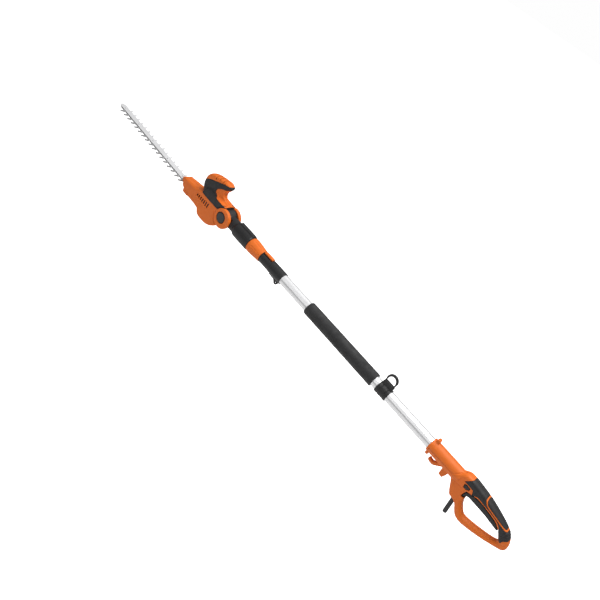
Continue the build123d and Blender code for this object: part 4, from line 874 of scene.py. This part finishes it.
def soften(name, node, body, slot, voxel, passes, material=None):
    """Remake a CAD piece with rounded edges, from its own mesh."""
    piece = add_object(name, NODES[node].data.copy())
    piece.modifiers.new("weld", "WELD").merge_threshold = 1e-6
    remesh = piece.modifiers.new("remesh", "REMESH")
    remesh.mode = "VOXEL"
    remesh.voxel_size = voxel / 1000.0
    smooth = piece.modifiers.new("smooth", "SMOOTH")
    smooth.iterations = passes
    smooth.factor = 0.5
    bpy.context.view_layer.update()
    graph = bpy.context.evaluated_depsgraph_get()
    mesh = bpy.data.meshes.new_from_object(piece.evaluated_get(graph))
    piece.modifiers.clear()
    piece.data = mesh
    mesh.name = name
    mesh.polygons.foreach_set("use_smooth", [True] * len(mesh.polygons))
    dress(piece, material or MATERIALS[slot])
    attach(piece, body)
    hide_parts(node)


for row in SOFTENED:
    soften(*row)

# ------------------------------------------------------------------ foam sleeve
SLEEVE_START, SLEEVE_END = -532.0, -231.0
SLEEVE_BORE, SLEEVE_RADIUS = 17.62, 22.4
SLEEVE_EDGE_RADIUS = 19.2  # where the rounding of each end begins
SLEEVE_EDGE_LENGTH = 3.4


def sleeve_edge(centre, start_angle, end_angle):
    """Points (x, radius) round one end, by angles in degrees."""
    rise = SLEEVE_RADIUS - SLEEVE_EDGE_RADIUS
    angles = np.radians(np.linspace(start_angle, end_angle, 9))
    return [(centre + SLEEVE_EDGE_LENGTH * math.cos(angle),
             SLEEVE_EDGE_RADIUS + rise * math.sin(angle)) for angle in angles]


def lathe(profile, segments):
    """A closed profile of (x, radius) turned round the X axis."""
    along, radius = np.asarray(profile, float).T
    angle = np.linspace(0, 2 * math.pi, segments, endpoint=False)
    verts = np.stack([
        np.repeat(along, segments),
        np.outer(radius, np.cos(angle)).ravel(),
        np.outer(radius, np.sin(angle)).ravel(),
    ], 1)
    faces = []
    for i in range(len(profile)):
        ring, next_ring = i * segments, (i + 1) % len(profile) * segments
        for k in range(segments):
            m = (k + 1) % segments
            faces.append((ring + k, next_ring + k, next_ring + m, ring + m))
    return verts, faces


def make_sleeve():
    start, end = SLEEVE_START, SLEEVE_END
    profile = [(start, SLEEVE_BORE), (start, SLEEVE_EDGE_RADIUS)]
    profile += sleeve_edge(start + SLEEVE_EDGE_LENGTH, 180, 90)
    profile += [(x, SLEEVE_RADIUS) for x in np.arange(start + 6.5, end - 6.4, 2.2)]
    profile += sleeve_edge(end - SLEEVE_EDGE_LENGTH, 90, 0)
    profile += [(end, SLEEVE_EDGE_RADIUS), (end, SLEEVE_BORE)]
    profile += [(x, SLEEVE_BORE) for x in np.arange(end - 20, start + 10, -20.0)]
    verts, faces = lathe(profile, segments=96)
    # Slight waves over the outside
    x, y, z = verts.T
    radius = np.hypot(y, z)
    angle = np.arctan2(z, y)
    wave = 0.10 * np.sin(x * 0.21 + 2 * angle)
    wave += 0.08 * np.sin(x * 0.083 - 3 * angle + 1.3)
    wave += 0.05 * np.sin(x * 0.9 + 5 * angle)
    verts[:, 1:] *= np.where(radius > 20, (radius + wave) / radius, 1.0)[:, None]
    make_piece("foam_sleeve", verts, faces, "pole", "foam", "foam_grip")


make_sleeve()

# ------------------------------------------------------------------ blade edges
for name in ("blade_rail", "upper_blade", "lower_blade"):
    bevel = NODES[name].modifiers.new("edge", "BEVEL")
    bevel.width = 0.00025
    bevel.segments = 2
    bevel.limit_method = "ANGLE"
    bevel.angle_limit = math.radians(40)


# ------------------------------------------------------------------ stage, in metres
def make_floor(half, z):
    mesh = bpy.data.meshes.new("floor")
    corners = [(-half, -half, z), (half, -half, z), (half, half, z), (-half, half, z)]
    mesh.from_pydata(corners, [], [(0, 1, 2, 3)])
    floor = add_object("floor", mesh)
    shader = Shader("pale_floor")
    shader.feed("Base Color", shader.ramp(shader.noise(0.8), [(0.3, grey(0.86)), (0.7, grey(0.88))]))
    shader.feed("Roughness", 0.9)
    # It glows for the camera only, and lights nothing.
    seen = shader.node("ShaderNodeLightPath").outputs["Is Camera Ray"]
    shader.feed("Emission Color", (1, 1, 1, 1))
    shader.feed("Emission Strength", shader.remap(seen, span=(0, 1), to=(0.0, 0.90)))
    dress(floor, shader.material)


# Sky brightness: (height, grey level)
SKY = [(0.0, (0.30, 0.30, 0.31, 1)), (0.10, grey(0.30)), (0.30, grey(0.62)),
       (0.55, grey(0.95)), (1.0, grey(1.0))]


def make_world():
    """A graded sky that lights the scene, and a plain one that the camera sees."""
    SCENE.world = bpy.data.worlds.new("studio")
    nodes = Nodes(SCENE.world)
    output = nodes.node("ShaderNodeOutputWorld")
    place = nodes.node("ShaderNodeTexCoord")
    split = nodes.node("ShaderNodeSeparateXYZ")
    nodes.link(place.outputs["Generated"], split.inputs[0])
    lighting = nodes.node("ShaderNodeBackground")
    nodes.link(nodes.ramp(split.outputs[2], SKY), lighting.inputs["Color"])
    lighting.inputs["Strength"].default_value = 0.50
    backdrop = nodes.node("ShaderNodeBackground")
    backdrop.inputs["Color"].default_value = grey(0.99)
    path = nodes.node("ShaderNodeLightPath")
    switch = nodes.node("ShaderNodeMixShader")
    nodes.link(path.outputs["Is Camera Ray"], switch.inputs[0])
    nodes.link(lighting.outputs[0], switch.inputs[1])
    nodes.link(backdrop.outputs[0], switch.inputs[2])
    nodes.link(switch.outputs[0], output.inputs[0])


def area_light(name, place, target, size, power):
    light = bpy.data.lights.new(name, "AREA")
    light.shape = "RECTANGLE"
    light.size, light.size_y = size
    light.energy = power
    lamp = add_object(name, light)
    lamp.location = place
    lamp.rotation_mode = "QUATERNION"
    lamp.rotation_quaternion = (Vector(target) - Vector(place)).to_track_quat("-Z", "Y")


def make_camera(place, right, up, back):
    """The three directions are the camera's own axes."""
    camera = bpy.data.cameras.new("camera")
    camera.sensor_width = 36.0
    camera.lens = 36.0
    camera.clip_start = 0.05
    camera.clip_end = 200.0
    holder = add_object("camera", camera)
    pose = Matrix((right, up, back)).transposed().to_4x4()
    pose.translation = place
    holder.matrix_world = pose
    SCENE.camera = holder


make_floor(half=60.0, z=-0.47)
make_world()
area_light("key", place=(-0.1, 0.15, 2.6), target=(-0.45, 0, 0), size=(3.0, 1.6), power=84)
area_light("fill", place=(-0.9, -2.8, 1.0), target=(-0.5, 0, -0.1), size=(2.4, 1.6), power=4.5)
make_camera(
    place=(0.08506353555, -1.419721063, 0.9886042576),
    right=(0.6254546390, 0.6205102337, 0.4730470849),
    up=(-0.6951865613, 0.1678797134, 0.6989506756),
    back=(0.3542910380, -0.7660179187, 0.5363715211),
)
SCENE.view_settings.view_transform = "Standard"
SCENE.view_settings.look = "None"
